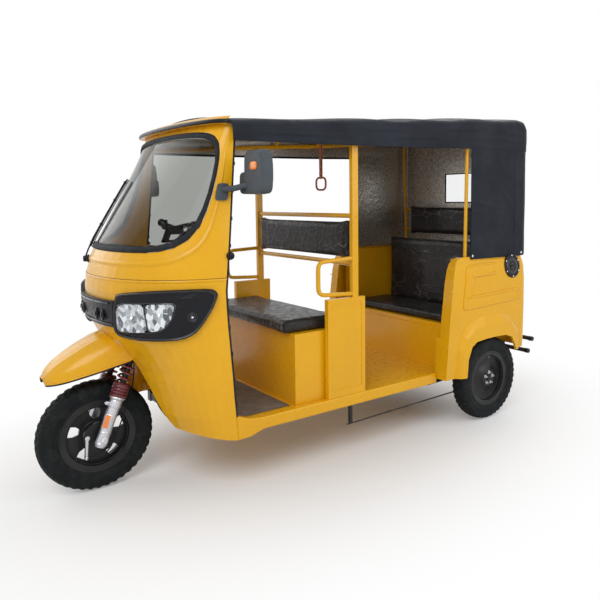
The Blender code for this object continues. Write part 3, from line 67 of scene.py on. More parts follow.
# Half lengths of the oval in which the floor starts to fade, and where the fade starts and ends
FADE_OVAL = (1.15, 1.75)
FADE_FROM, FADE_TO = 0.35, 1.5


def add_camera():
    data = bpy.data.cameras.new("camera")
    data.lens = LENS
    data.sensor_width = 36.0
    data.shift_x, data.shift_y = SHIFT
    ob = bpy.data.objects.new("camera", data)
    bpy.context.scene.collection.objects.link(ob)
    az, pitch = math.radians(AZIMUTH), math.radians(PITCH)
    look = Vector((-math.sin(az) * math.cos(pitch), math.cos(az) * math.cos(pitch),
                   -math.sin(pitch)))
    right = Vector((math.cos(az), math.sin(az), 0.0))
    m = Matrix((right, right.cross(look), -look)).transposed().to_4x4()
    m.translation = CAMERA_AT
    ob.matrix_world = m
    bpy.context.scene.camera = ob
    bpy.context.scene.view_settings.view_transform = "Standard"


def add_lights():
    for name, at, size, power in LIGHTS:
        data = bpy.data.lights.new(name, "AREA")
        data.energy = power
        data.size = size
        ob = bpy.data.objects.new(name, data)
        bpy.context.scene.collection.objects.link(ob)
        ob.location = at
        ob.rotation_euler = (Vector(LIT_POINT) - Vector(at)).to_track_quat("-Z", "Y").to_euler()


# Node trees and materials

class Nodes:
    """Shorthand for building one node tree."""

    def __init__(self, tree):
        self.tree = tree

    def add(self, kind):
        return self.tree.nodes.new(kind)

    def link(self, a, b):
        self.tree.links.new(a, b)

    def span(self, value, low, high, to_low, to_high):
        node = self.add("ShaderNodeMapRange")
        for key, number in (("From Min", low), ("From Max", high), ("To Min", to_low),
                            ("To Max", to_high)):
            node.inputs[key].default_value = number
        self.link(value, node.inputs["Value"])
        return node.outputs["Result"]

    def maths(self, kind, a, b):
        node = self.add("ShaderNodeMath")
        node.operation = kind
        self.link(a, node.inputs[0])
        self.link(b, node.inputs[1])
        return node.outputs[0]

    def white_to_camera(self, plain):
        """1 for rays from the camera, mirrors and glass, and plain for the rest."""
        rays = self.add("ShaderNodeLightPath").outputs
        seen = self.maths("MAXIMUM", rays["Is Camera Ray"], rays["Is Glossy Ray"])
        seen = self.maths("MAXIMUM", seen, rays["Is Transmission Ray"])
        return self.span(seen, 0.0, 1.0, plain, 1.0)


class Paint(Nodes):
    """Node tree of one material, with shorthand for the textures that it mixes."""

    def __init__(self, name, **values):
        self.mat = bpy.data.materials.new(name)
        self.mat.use_nodes = True
        super().__init__(self.mat.node_tree)
        self.bsdf = self.tree.nodes["Principled BSDF"]
        self.coords = self.add("ShaderNodeTexCoord").outputs["Object"]
        for key, value in values.items():
            self.bsdf.inputs[key.replace("_", " ")].default_value = value

    def stretch(self, scale):
        """Coordinates scaled by axis, for streaks and weaves."""
        node = self.add("ShaderNodeMapping")
        node.inputs["Scale"].default_value = scale
        self.link(self.coords, node.inputs["Vector"])
        return node.outputs["Vector"]

    def noise(self, scale, detail=3.0, rough=0.55, coords=None):
        node = self.add("ShaderNodeTexNoise")
        node.inputs["Scale"].default_value = scale
        node.inputs["Detail"].default_value = detail
        node.inputs["Roughness"].default_value = rough
        self.link(coords or self.coords, node.inputs["Vector"])
        return node.outputs["Fac"]

    def ridges(self, scale, coords=None):
        """Creases between cells, as on crumpled film."""
        node = self.add("ShaderNodeTexVoronoi")
        node.feature = "DISTANCE_TO_EDGE"
        node.inputs["Scale"].default_value = scale
        self.link(coords or self.coords, node.inputs["Vector"])
        return node.outputs["Distance"]

    def wave(self, scale, direction):
        node = self.add("ShaderNodeTexWave")
        node.bands_direction = direction
        node.inputs["Scale"].default_value = scale
        node.inputs["Distortion"].default_value = 0.0
        self.link(self.coords, node.inputs["Vector"])
        return node.outputs["Fac"]

    def blend(self, factor, a, b):
        """Colour between a and b; each is a tuple or a socket."""
        node = self.add("ShaderNodeMix")
        node.data_type = "RGBA"
        self.link(factor, node.inputs["Factor"])
        for socket, value in ((node.inputs[6], a), (node.inputs[7], b)):
            if isinstance(value, tuple):
                socket.default_value = (*value, 1.0)
            else:
                self.link(value, socket)
        return node.outputs[2]

    def colour(self, socket):
        self.link(socket, self.bsdf.inputs["Base Color"])

    def rough(self, socket):
        self.link(socket, self.bsdf.inputs["Roughness"])

    def bump(self, *heights):
        """Stacks heights; each is a socket with its strength and distance."""
        normal = None
        for height, strength, distance in heights:
            node = self.add("ShaderNodeBump")
            node.inputs["Strength"].default_value = strength
            node.inputs["Distance"].default_value = distance
            self.link(height, node.inputs["Height"])
            if normal:
                self.link(normal, node.inputs["Normal"])
            normal = node.outputs["Normal"]
        self.link(normal, self.bsdf.inputs["Normal"])


def fade_to_white(p):
    """Floor that turns plain white away from the vehicle for rays that see the background."""
    length = p.add("ShaderNodeVectorMath")
    length.operation = "LENGTH"
    p.link(p.stretch((1 / FADE_OVAL[0], 1 / FADE_OVAL[1], 1.0)), length.inputs[0])
    share = p.span(length.outputs["Value"], FADE_FROM, FADE_TO, 0.0, 1.0)
    share.node.interpolation_type = "SMOOTHSTEP"
    mix = p.add("ShaderNodeMixShader")
    p.link(p.maths("MULTIPLY", share, p.white_to_camera(0.0)), mix.inputs["Fac"])
    p.link(p.bsdf.outputs["BSDF"], mix.inputs[1])
    p.link(p.add("ShaderNodeEmission").outputs["Emission"], mix.inputs[2])
    p.link(mix.outputs["Shader"], p.tree.nodes["Material Output"].inputs["Surface"])


def add_stage():
    world = bpy.data.worlds.new("studio")
    bpy.context.scene.world = world
    world.use_nodes = True
    back = world.node_tree.nodes["Background"]
    back.inputs["Color"].default_value = (1.0, 1.0, 1.0, 1.0)
    sky = Nodes(world.node_tree)
    sky.link(sky.white_to_camera(WORLD_LIGHT), back.inputs["Strength"])
    mesh = bpy.data.meshes.new("floor")
    mesh.from_pydata([(x * FLOOR_HALF, y * FLOOR_HALF, 0)
                      for x, y in ((-1, -1), (1, -1), (1, 1), (-1, 1))], [], [(0, 1, 2, 3)])
    floor = bpy.data.objects.new("floor", mesh)
    bpy.context.scene.collection.objects.link(floor)
    p = Paint("pale_floor", Base_Color=(0.92, 0.92, 0.92, 1.0), Roughness=0.9,
              Specular_IOR_Level=0.1)
    fade_to_white(p)
    mesh.materials.append(p.mat)


def finish(name, spread, colours, rough, bumps, **values):
    """Two colours mixed by noise, noise for the roughness, and stacked noise bumps.

    spread is scale, detail and, for a harder mix, the noise's limits; rough is scale, detail,
    limits of the noise and of the roughness; each bump is scale, detail, strength and distance.
    """
    p = Paint(name, **values)
    share = p.noise(*spread[:2])
    if len(spread) > 2:
        share = p.span(share, spread[2], spread[3], 0.0, 1.0)
    p.colour(p.blend(share, *colours))
    p.rough(p.span(p.noise(*rough[:2]), *rough[2:]))
    p.bump(*((p.noise(scale, detail), strength, distance)
             for scale, detail, strength, distance in bumps))
    return p.mat


def steel(name, base, worn):
    return finish(name, (9.0, 6.0, 0.45, 0.75), (base, worn), (40.0, 4.0, 0.3, 0.7, 0.28, 0.5),
                  ((400.0, 2.0, 0.08, 0.0005),), Metallic=0.1, Specular_IOR_Level=0.30)


def rubber(name, base, dusty):
    return finish(name, (22.0, 6.0, 0.45, 0.75), (base, dusty), (80.0, 3.0, 0.3, 0.7, 0.55, 0.80),
                  ((700.0, 2.0, 0.15, 0.0004),), Specular_IOR_Level=0.14)


def canvas():
    p = Paint("canvas", Specular_IOR_Level=0.10)
    p.colour(p.blend(p.span(p.noise(5.0, 6.0), 0.35, 0.7, 0.0, 1.0), (0.012, 0.014, 0.020),
                     (0.022, 0.025, 0.034)))
    p.rough(p.span(p.noise(40.0, 4.0), 0.3, 0.7, 0.42, 0.62))
    weave = p.maths("MULTIPLY", p.wave(260.0, "Y"), p.wave(260.0, "Z"))
    folds = p.noise(14.0, 3.0, coords=p.stretch((0.5, 1.0, 2.5)))
    p.bump((weave, 0.10, 0.0004), (folds, 0.35, 0.008))
    return p.mat


def vinyl():
    """Dark seat vinyl under a clear film, with painted glints: pale lines painted into the colour along
    the film's creases.
    """
    p = Paint("vinyl", Coat_Weight=0.14, Coat_Roughness=0.10, Specular_IOR_Level=0.12)
    base = p.blend(p.span(p.noise(8.0, 5.0), 0.4, 0.7, 0.0, 1.0), (0.018, 0.016, 0.016),
                   (0.034, 0.031, 0.031))
    # Painted glints: thin crease lines, broken up by noise, painted pale into the colour
    glint_lines = p.span(p.ridges(11.0, p.stretch((0.7, 2.0, 1.6))), 0.0, 0.020, 1.0, 0.0)
    painted_glint = p.maths("MULTIPLY", glint_lines, p.span(p.noise(6.0, 2.0), 0.54, 0.62, 0.0, 1.0))
    p.colour(p.blend(painted_glint, base, (0.22, 0.215, 0.205)))
    p.rough(p.span(p.noise(35.0, 5.0), 0.35, 0.7, 0.26, 0.50))
    crease = p.span(p.ridges(16.0, p.stretch((1.0, 2.2, 1.0))), 0.0, 0.12, 1.0, 0.0)
    p.bump((crease, 0.35, 0.004), (p.noise(30.0, 3.0), 0.35, 0.004))
    return p.mat


def red_lens():
    p = Paint("red_lens", Coat_Weight=0.8, Transmission_Weight=0.25)
    p.colour(p.blend(p.wave(60.0, "Z"), (0.42, 0.008, 0.010), (0.55, 0.02, 0.02)))
    p.rough(p.span(p.noise(40.0), 0.3, 0.7, 0.10, 0.2))
    p.bump((p.wave(120.0, "X"), 0.3, 0.0008))
    return p.mat


def webbing():
    p = Paint("webbing", Sheen_Weight=0.3)
    p.colour(p.blend(p.noise(60.0, 4.0), (0.40, 0.095, 0.028), (0.52, 0.14, 0.045)))
    p.rough(p.span(p.noise(90.0), 0.3, 0.7, 0.5, 0.7))
    p.bump((p.wave(500.0, "Z"), 0.4, 0.0006))
    return p.mat


def amber():
    p = Paint("amber_reflector", Coat_Weight=0.8, Coat_Roughness=0.05)
    weave = p.maths("MULTIPLY", p.wave(160.0, "Z"), p.wave(160.0, "X"))
    p.colour(p.blend(weave, (0.90, 0.235, 0.010), (0.72, 0.150, 0.006)))
    p.rough(p.span(p.noise(50.0), 0.3, 0.7, 0.16, 0.28))
    p.bump((weave, 0.4, 0.0006))
    return p.mat


def chrome():
    """Bright metal broken into small facets, as in a lamp bowl."""
    p = Paint("faceted_chrome", Metallic=1.0)
    p.colour(p.blend(p.noise(30.0, 4.0), (0.72, 0.73, 0.75), (0.90, 0.90, 0.92)))
    p.rough(p.span(p.noise(60.0), 0.3, 0.7, 0.06, 0.20))
    p.bump((p.ridges(70.0), 0.40, 0.004), (p.noise(45.0, 2.0), 0.25, 0.003))
    return p.mat


def lamp_bowl():
    """Mirror broken into facets, with painted reflections: light and dark facets painted into its
    colour, as behind a headlamp's lens.
    """
    p = Paint("lamp_bowl", Metallic=1.0)
    node = p.add("ShaderNodeTexVoronoi")
    node.inputs["Scale"].default_value = 62.0
    p.link(p.stretch((1.0, 1.0, 0.6)), node.inputs["Vector"])
    # Painted reflections: each facet gets its own brightness, from dark to bright, in the mirror's
    # colour
    p.colour(p.blend(p.span(node.outputs["Color"], 0.25, 0.75, 0.0, 1.0), (0.16, 0.165, 0.18),
                     (0.92, 0.92, 0.94)))
    p.rough(p.span(p.noise(60.0), 0.3, 0.7, 0.10, 0.24))
    p.bump((node.outputs["Distance"], 0.6, 0.006), (p.noise(45.0, 2.0), 0.3, 0.004))
    return p.mat


def clear_lens():
    p = Paint("clear_lens", Base_Color=(0.93, 0.95, 0.96, 1.0), IOR=1.15,
              Specular_IOR_Level=0.7, Transmission_Weight=1.0)
    p.rough(p.span(p.noise(12.0, 4.0), 0.45, 0.75, 0.0, 0.05))
    p.bump((p.noise(16.0, 1.0), 0.06, 0.002))
    return p.mat


def foil():
    p = Paint("foil_lining", Metallic=0.80)
    speck = p.span(p.noise(150.0, 3.0, 0.7), 0.42, 0.62, 0.0, 1.0)
    p.colour(p.blend(speck, (0.26, 0.24, 0.21), (0.66, 0.63, 0.59)))
    p.rough(p.span(p.noise(60.0, 4.0), 0.3, 0.7, 0.28, 0.52))
    p.bump((p.noise(90.0, 3.0), 0.5, 0.002), (p.ridges(22.0), 0.35, 0.006))
    return p.mat


def window_film():
    p = Paint("window_film", Base_Color=(0.86, 0.88, 0.87, 1.0), IOR=1.10,
              Transmission_Weight=0.92, Specular_IOR_Level=0.6)
    p.rough(p.span(p.noise(20.0, 4.0), 0.35, 0.7, 0.04, 0.20))
    p.bump((p.noise(14.0, 2.0), 0.25, 0.004))
    return p.mat


def ribbed_mat():
    p = Paint("ribbed_mat")
    p.colour(p.blend(p.span(p.noise(16.0, 6.0), 0.35, 0.7, 0.0, 1.0), (0.105, 0.082, 0.066),
                     (0.175, 0.145, 0.122)))
    p.rough(p.span(p.noise(50.0, 4.0), 0.3, 0.7, 0.50, 0.75))
    p.bump((p.wave(24.0, "X"), 0.35, 0.002), (p.noise(120.0, 3.0), 0.2, 0.0008))
    return p.mat


YELLOW = finish(
    "body_yellow", (2.2, 3.0, 0.35, 0.7), ((0.78, 0.405, 0.005), (0.730, 0.365, 0.004)),
    (30.0, 3.0, 0.3, 0.7, 0.24, 0.36), ((260.0, 1.0, 0.05, 0.0006), (6.0, 1.0, 0.12, 0.004)),
    Coat_Weight=0.20, Coat_Roughness=0.08, Specular_IOR_Level=0.26)
BLACK_STEEL = steel("satin_black", (0.016, 0.016, 0.018), (0.045, 0.043, 0.042))
RIM_BLACK = steel("rim_black", (0.012, 0.012, 0.013), (0.03, 0.03, 0.031))
BLACK_PLASTIC = finish(
    "black_plastic", (14.0, 4.0), ((0.006, 0.006, 0.008), (0.014, 0.015, 0.019)),
    (60.0, 4.0, 0.3, 0.7, 0.25, 0.42), ((900.0, 1.0, 0.06, 0.0003),), Specular_IOR_Level=0.17)
GREY_PLASTIC = finish(
    "grey_plastic", (12.0, 4.0), ((0.050, 0.062, 0.072), (0.072, 0.086, 0.098)),
    (60.0, 4.0, 0.3, 0.7, 0.42, 0.60), ((1100.0, 1.0, 0.18, 0.0004),), Specular_IOR_Level=0.25)
TYRE = rubber("tyre_rubber", (0.008, 0.010, 0.011), (0.020, 0.022, 0.022))
SEAL = rubber("seal_rubber", (0.016, 0.018, 0.022), (0.032, 0.035, 0.041))
SILVER = finish(
    "cast_silver", (18.0, 5.0), ((0.52, 0.53, 0.56), (0.70, 0.70, 0.73)),
    (60.0, 5.0, 0.3, 0.7, 0.26, 0.46), ((500.0, 3.0, 0.14, 0.0004),), Metallic=0.85)
MAROON = finish(
    "maroon", (25.0, 4.0), ((0.12, 0.012, 0.022), (0.20, 0.020, 0.034)),
    (60.0, 3.0, 0.3, 0.7, 0.22, 0.36), ((300.0, 3.0, 0.06, 0.0004),),
    Coat_Weight=0.5, Coat_Roughness=0.1, Metallic=0.3)
GLASS = finish(
    "clear_glass", (1.6, 2.0), ((0.29, 0.30, 0.28), (0.37, 0.38, 0.36)),
    (12.0, 4.0, 0.45, 0.75, 0.0, 0.05), ((3.0, 1.0, 0.02, 0.001),),
    IOR=1.12, Specular_IOR_Level=0.6, Transmission_Weight=1.0)
CANVAS = canvas()
VINYL = vinyl()
RED = red_lens()
STRAP = webbing()
BOOT = finish(
    "boot_rubber", (30.0, 4.0), ((0.085, 0.010, 0.018), (0.165, 0.022, 0.034)),
    (60.0, 3.0, 0.3, 0.7, 0.25, 0.42), ((350.0, 3.0, 0.10, 0.0004),),
    Coat_Weight=0.5, Coat_Roughness=0.15)
AMBER = amber()
SHADOW = finish(
    "seam_shadow", (40.0, 3.0), ((0.055, 0.024, 0.004), (0.10, 0.045, 0.006)),
    (60.0, 3.0, 0.3, 0.7, 0.6, 0.9), ((300.0, 3.0, 0.1, 0.0003),))
GLOSS_BLACK = finish(
    "gloss_black", (18.0, 4.0), ((0.008, 0.008, 0.010), (0.018, 0.019, 0.022)),
    (50.0, 4.0, 0.3, 0.7, 0.14, 0.26), ((500.0, 3.0, 0.04, 0.0003),),
    Coat_Weight=0.30, Coat_Roughness=0.06, Specular_IOR_Level=0.3)
CHROME = chrome()
LAMP_BOWL = lamp_bowl()
CLEAR_LENS = clear_lens()
FOIL = foil()
FILM = window_film()
MAT = ribbed_mat()

SLOT_MATERIALS = {
    "body_paint": YELLOW, "frame_paint": BLACK_STEEL, "rim_paint": RIM_BLACK,
    "silver_metal": SILVER, "spring_paint": MAROON, "black_plastic": BLACK_PLASTIC,
    "grey_plastic": GREY_PLASTIC, "seal_rubber": SEAL,
    "clear_glass": GLASS, "red_lens": RED, "battery_case": BLACK_PLASTIC,
    "seat_cover": VINYL, "strap_webbing": STRAP, "canvas": CANVAS, "tyre_rubber": TYRE,
}


# Slot of a piece by its material
PIECE_SLOTS = {mat.name: slot for slot, mat in SLOT_MATERIALS.items() if slot != "battery_case"}
PIECE_SLOTS[BOOT.name] = "spring_paint"


def dress_nodes():
    """Gives each CAD node the finish of its material slot; the spindle is painted black."""
    slots = {part["node"]: part["material_slot"] for part in frame["record"]["subparts"]}
    for name, ob in nodes.items():
        mat = RIM_BLACK if name == "front_axle" else SLOT_MATERIALS[slots[name]]
        ob.data.materials.clear()
        ob.data.materials.append(mat)


# Repeated dimensions of the frame, measured from the front axle

AXLE_Y = -1.187456
AXLE_Z = 0.255
WHEELBASE = 2.12
TRACK_HALF = 0.55
RAKE = math.radians(21.8)
FORK_X = 0.097
BODY_HALF_W = 0.510
CAB_TOP = 1.668
LAMP_OUT = 0.018

CAB_ROWS = (
    (0.250, 0.250, 0.005, 0.470), (0.300, 0.232, 0.003, 0.465), (0.370, 0.200, 0.001, 0.458),
    (0.470, 0.178, 0.000, 0.450), (0.570, 0.146, 0.000, 0.444), (0.650, 0.103, 0.000, 0.438),
    (0.720, 0.052, 0.000, 0.433), (0.780, 0.026, 0.000, 0.428), (0.860, 0.010, 0.001, 0.424),
    (0.940, 0.006, 0.002, 0.422), (1.000, 0.016, 0.003, 0.428), (1.080, 0.040, 0.005, 0.436),
    (1.155, 0.075, 0.007, 0.444), (1.314, 0.170, 0.011, 0.458), (1.530, 0.302, 0.017, 0.477),
    (CAB_TOP, 0.385, 0.020, 0.489),
)
LAMP_SHAPE = ((21.0, 0.765), (26.8, 0.932), (31.0, 0.943), (48, 0.957), (65, 0.962), (82, 0.960),
              (85, 0.944), (85.2, 0.926), (82.3, 0.872), (76, 0.805), (71, 0.768), (63, 0.745),
              (49.5, 0.738), (33.5, 0.737), (23.0, 0.744))
LENS_SHAPE = ((24.5, 0.780), (27.8, 0.893), (42, 0.901), (60.5, 0.903), (62.5, 0.890),
              (60, 0.838), (54, 0.790), (44, 0.777), (27, 0.770))
# The two bowls behind each lens
INNER_BOWL = ((24.7, 0.779), (27.9, 0.892), (36, 0.899), (44.9, 0.900), (45.0, 0.778),
              (27.4, 0.771))
OUTER_BOWL = ((45.9, 0.780), (45.9, 0.900), (60.3, 0.902), (62.2, 0.890), (59.7, 0.838),
              (53.8, 0.791))
SCREEN_HALF = ((0, 1.112), (25, 1.112), (43.5, 1.114), (55.5, 1.128), (64, 1.160), (70, 1.213),
               (73.3, 1.300), (75, 1.400), (75, 1.510), (73, 1.572), (66, 1.612), (53, 1.636),
               (30, 1.646), (0, 1.649))
# Crease round the windshield: half width, length of a degree of plan, then angle and height
CREASE_HALF = 0.013
DEGREE = 0.0089
CREASE = ((80.3, 1.560), (80.7, 1.480), (80.5, 1.390), (79.3, 1.300), (76.8, 1.205), (71.0, 1.135),
          (61.0, 1.092), (47.0, 1.072), (25.0, 1.066), (0.0, 1.066))
WIPER_PATH = ((-22.3, 1.118), (-21.8, 1.180), (-21, 1.260), (-20, 1.350), (-18.8, 1.445))
GUARD_ROWS = (
    (0.045, 0.735, 0.150, 0.130, 0.613), (0.000, 0.718, 0.148, 0.065, 0.600),
    (-0.060, 0.688, 0.140, -0.010, 0.583), (-0.120, 0.652, 0.126, -0.085, 0.566),
    (-0.165, 0.620, 0.106, -0.145, 0.552), (-0.197, 0.588, 0.080, -0.185, 0.543),
    (-0.213, 0.560, 0.046, -0.207, 0.537),
)
HUB_CABLE = ((0.0672, -0.0600, 0.172), (0.074, -0.015, 0.166), (0.078, 0.035, 0.200),
             (0.070, 0.085, 0.290), (0.066, 0.120, 0.380), (0.061, 0.148, 0.450),
             (0.050, 0.166, 0.530), (0.042, 0.169, 0.5978))
FRAME_CABLE = ((0.0235, 0.2740, 0.535), (0.050, 0.256, 0.524), (0.100, 0.240, 0.500),
               (0.150, 0.215, 0.470), (0.195, 0.212, 0.430), (0.228, 0.222, 0.385),
               (0.248, 0.250, 0.340), (0.270, 0.290, 0.305), (0.305, 0.340, 0.285),
               (0.330, 0.3612, 0.282))

CANOPY_FRONT_Y = 0.464
CURTAIN_Y = 1.961
CANOPY_REAR_Y = 2.505
CURTAIN_Z = 0.998
CANOPY_CROWN = 0.040
CANOPY_CORNER_R = 0.055
# Distance along, half width beyond the body's, shoulder, lower edge over the doorways
CANOPY_ROWS = (
    (0.464, 0.020, 1.690, 1.600), (0.899, 0.020, 1.730, 1.610), (1.300, 0.024, 1.762, 1.620),
    (1.602, 0.040, 1.785, 1.630), (1.955, 0.061, 1.818, 1.646), (2.200, 0.064, 1.838, 1.656),
    (2.400, 0.064, 1.850, 1.664), (2.455, 0.062, 1.848, 1.664), (2.490, 0.050, 1.830, 1.660),
    (2.505, 0.028, 1.800, 1.655),
)
BOWS = (0.464, 0.580, 1.286, 1.620, 2.020, 2.430, 2.505)


# Shapes

class Shape:
    """Points and faces gathered into one piece, measured from the front axle."""

    def __init__(self):
        self.verts, self.faces = [], []

    def add(self, verts, faces):
        base = len(self.verts)
        self.verts += [tuple(v) for v in verts]
        self.faces += [tuple(base + k for k in face) for face in faces]
        return self

    def rows(self, rows, ring=False, loop=False, caps=False):
        """Faces between rows of equal count; ring closes each row, loop joins last to first."""
        count = len(rows[0])
        faces = []
        for i in range(len(rows) if loop else len(rows) - 1):
            a, b = i * count, (i + 1) % len(rows) * count
            for j in range(count if ring else count - 1):
                k = (j + 1) % count
                faces.append((a + j, a + k, b + k, b + j))
        if caps:
            faces += [tuple(range(count)), tuple(range((len(rows) - 1) * count, len(rows) * count))]
        return self.add([p for row in rows for p in row], faces)

    def tube(self, path, radius, sides=10, loop=False):
        """Round bar along a path; radius is one number or one for each point."""
        pts = [Vector(p) for p in path]
        n = len(pts)
        side = None
        rows = []
        for k, p in enumerate(pts):
            before = pts[(k - 1) % n] if loop else pts[max(k - 1, 0)]
            after = pts[(k + 1) % n] if loop else pts[min(k + 1, n - 1)]
            along = (after - before).normalized()
            side = along.orthogonal() if side is None else side
            side = (side - along * side.dot(along)).normalized()
            up = along.cross(side)
            r = radius[k] if hasattr(radius, "__len__") else radius
            rows.append([p + side * (r * math.cos(a)) + up * (r * math.sin(a))
                         for a in turns(sides)])
        return self.rows(rows, ring=True, loop=loop, caps=not loop)

    def turn(self, profile, centre, axis, sides=32, caps=True):
        """Profile of radius and distance along the axis, turned about it."""
        axis = Vector(axis).normalized()
        side = axis.orthogonal().normalized()
        up = axis.cross(side)
        rows = []
        for r, s in profile:
            rows.append([Vector(centre) + axis * s + (side * math.cos(a) + up * math.sin(a)) * r
                         for a in turns(sides)])
        return self.rows(rows, ring=True, caps=caps)

    def block(self, centre, size, bevel=0.002, turn=None, steps=2):
        """Block with rounded edges."""
        bm = bmesh.new()
        bmesh.ops.create_cube(bm, size=1.0)
        bmesh.ops.scale(bm, vec=size, verts=bm.verts)
        bmesh.ops.bevel(bm, geom=bm.edges[:], offset=bevel, segments=steps, profile=0.5,
                        affect="EDGES")
        if turn is not None:
            bmesh.ops.transform(bm, matrix=turn, verts=bm.verts)
        bmesh.ops.translate(bm, vec=centre, verts=bm.verts)
        bm.verts.index_update()
        self.add([v.co.copy() for v in bm.verts], [[v.index for v in f.verts] for f in bm.faces])
        bm.free()
        return self

    def piece(self, name, mat, angle=40, body="body", replaces=(), slot=None):
        """Object from the gathered faces, moved from the front axle's frame to the whole's.

        Faces that meet at more than angle degrees keep a sharp edge.
        """
        mesh = bpy.data.meshes.new(name)
        mesh.from_pydata([(x, y + AXLE_Y, z) for x, y, z in self.verts], [], self.faces)
        bm = bmesh.new()
        bm.from_mesh(mesh)
        loose = [v for v in bm.verts if not v.link_faces]
        bmesh.ops.delete(bm, geom=loose, context="VERTS")
        bmesh.ops.recalc_face_normals(bm, faces=bm.faces)
        bm.to_mesh(mesh)
        bm.free()
        mesh.shade_smooth()
        mesh.set_sharp_from_angle(angle=math.radians(angle))
        mesh.materials.append(mat)
        ob = bpy.data.objects.new(name, mesh)
        bpy.context.scene.collection.objects.link(ob)
        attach(ob, body)
        if replaces:
            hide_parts(*replaces)
        slot = slot or PIECE_SLOTS.get(mat.name)
        return ob


def spline(points, step):
    """Smooth curve through points, with a point about every step."""
    pts = [Vector(p) for p in points]
    pts = [pts[0] * 2 - pts[1]] + pts + [pts[-1] * 2 - pts[-2]]
    path = []
    for a, b, c, d in zip(pts, pts[1:], pts[2:], pts[3:]):
        steps = max(2, round((c - b).length / step))
        for n in range(steps):
            t = n / steps
            path.append(0.5 * (2 * b + (c - a) * t + (2 * a - 5 * b + 4 * c - d) * t * t
                               + (3 * b - a - 3 * c + d) * t ** 3))
    path.append(pts[-2])
    return path


def turns(count, start=0.0):
    """Angles evenly spaced round a circle, the first at a share of a step."""
    return [2 * math.pi * (k + start) / count for k in range(count)]


def rounded(count, across, up):
    """Points round a box of half width and height 1; lower powers make squarer corners."""
    return [(math.copysign(abs(math.cos(a)) ** across, math.cos(a)),
             math.copysign(abs(math.sin(a)) ** up, math.sin(a))) for a in turns(count)]


def steer_point(s, x=0.0, forward=0.0):
    """Point on the steering axis at s from the axle, moved sideways and forward."""
    return Vector((x, s * math.sin(RAKE) - forward * math.cos(RAKE),
                   AXLE_Z + s * math.cos(RAKE) + forward * math.sin(RAKE)))


def cab_row(z):
    zs = [row[0] for row in CAB_ROWS]
    nose, inset, rear = (float(np.interp(z, zs, [row[k] for row in CAB_ROWS])) for k in (1, 2, 3))
    return nose, BODY_HALF_W - inset, rear


def cab_point(phi, z, out=0.0):
    """Point of the cab skin at plan angle phi, moved outwards in plan."""
    nose, half, rear = cab_row(z)
    s, c = math.sin(phi), max(math.cos(phi), 0.0)
    x = half * math.copysign(abs(s) ** (2 / 2.2), s)
    y = rear - (rear - nose) * c ** (2 / 2.2)
    gx = math.copysign(abs(x / half) ** 1.2, x) / half
    gy = -(abs(rear - y) / (rear - nose)) ** 1.2 / (rear - nose)
    size = math.hypot(gx, gy)
    return Vector((x + out * gx / size, y + out * gy / size, z))


def cab_deg(angle, z, out=0.0):
    return cab_point(math.radians(angle), z, out)


def cab_frame(angle, z, out=0.0):
    """Point of the cab skin and the outward direction there."""
    p = cab_deg(angle, z, out)
    return p, (cab_deg(angle, z, out + 0.05) - p).normalized()


def eased(shape, times=2, keep=0.78):
    """Closed loop of pairs with its corners cut."""
    pts = [np.array(p, float) for p in shape]
    for _ in range(times):
        pts = [q for a, b in zip(pts, pts[1:] + pts[:1])
               for q in (keep * a + (1 - keep) * b, (1 - keep) * a + keep * b)]
    return [(float(p[0]), float(p[1])) for p in pts]


def even_loop(loop, count):
    """The same closed loop with its points evenly spaced on the skin."""
    ring = np.array(list(loop) + [loop[0]])
    steps = np.hypot(np.radians(np.diff(ring[:, 0])) * BODY_HALF_W, np.diff(ring[:, 1]))
    run = np.concatenate(([0.0], np.cumsum(steps)))
    marks = np.linspace(0, run[-1], count, endpoint=False)
    return list(zip(np.interp(marks, run, ring[:, 0]), np.interp(marks, run, ring[:, 1])))


def grown(loop, degrees, height):
    """Loop moved out from its middle by a fixed amount on each axis."""
    mid = np.mean(np.array(loop), axis=0)
    reach = np.max(np.abs(np.array(loop) - mid), axis=0)
    fa, fz = (reach[0] + degrees) / reach[0], (reach[1] + height) / reach[1]
    return [(mid[0] + (a - mid[0]) * fa, mid[1] + (z - mid[1]) * fz) for a, z in loop]


def skin_patch(shape, loop, side, offset, rings=6):
    """Dish on the skin inside a loop; offset is a function of the share from its middle."""
    mid = np.mean(np.array(loop), axis=0)
    rows = []
    for k in range(rings + 1):
        t = max(k / rings, 0.02)
        rows.append([cab_deg((mid[0] + (a - mid[0]) * t) * side, mid[1] + (z - mid[1]) * t,
                             offset(k / rings)) for a, z in loop])
    base = len(shape.verts)
    shape.rows(rows, ring=True)
    shape.faces.append(tuple(range(base, base + len(loop))))
    return shape


def skin_pane(shape, loop, side, offset, thick, rings=8):
    """Closed pane on the skin inside a loop, with its thickness behind the given offset."""
    mid = np.mean(np.array(loop), axis=0)
    steps = [(max(k / rings, 0.01), 0.0) for k in range(rings + 1)]
    steps += [(t, thick) for t, _ in reversed(steps)]
    return shape.rows([[cab_deg((mid[0] + (a - mid[0]) * t) * side, mid[1] + (z - mid[1]) * t,
                                offset(t) - back) for a, z in loop] for t, back in steps],
                      ring=True, caps=True)


def skin_band(shape, outer, inner, side, profile):
    """Closed bead on the skin between two loops; profile gives share across and offset."""
    rows = []
    for (a0, z0), (a1, z1) in zip(outer, inner):
        rows.append([cab_deg((a0 + (a1 - a0) * t) * side, z0 + (z1 - z0) * t, off)
                     for t, off in profile])
    return shape.rows(rows, loop=True)


def bolt(shape, at, normal, radius=0.006, height=0.004, sides=6):
    """Hexagonal head on a washer."""
    shape.turn(((radius * 1.45, 0.0), (radius * 1.45, height * 0.25)), at, normal, 16)
    shape.turn(((radius, height * 0.2), (radius, height * 0.9), (radius * 0.85, height)), at,
               normal, sides)
    return shape


def rivet(shape, at, normal, radius=0.005):
    shape.turn(((radius * 1.25, 0.0), (radius * 1.2, radius * 0.22), (radius * 0.8, radius * 0.5),
                (radius * 0.35, radius * 0.66), (radius * 0.02, radius * 0.7)), at, normal, 14)
    return shape


# Wheels

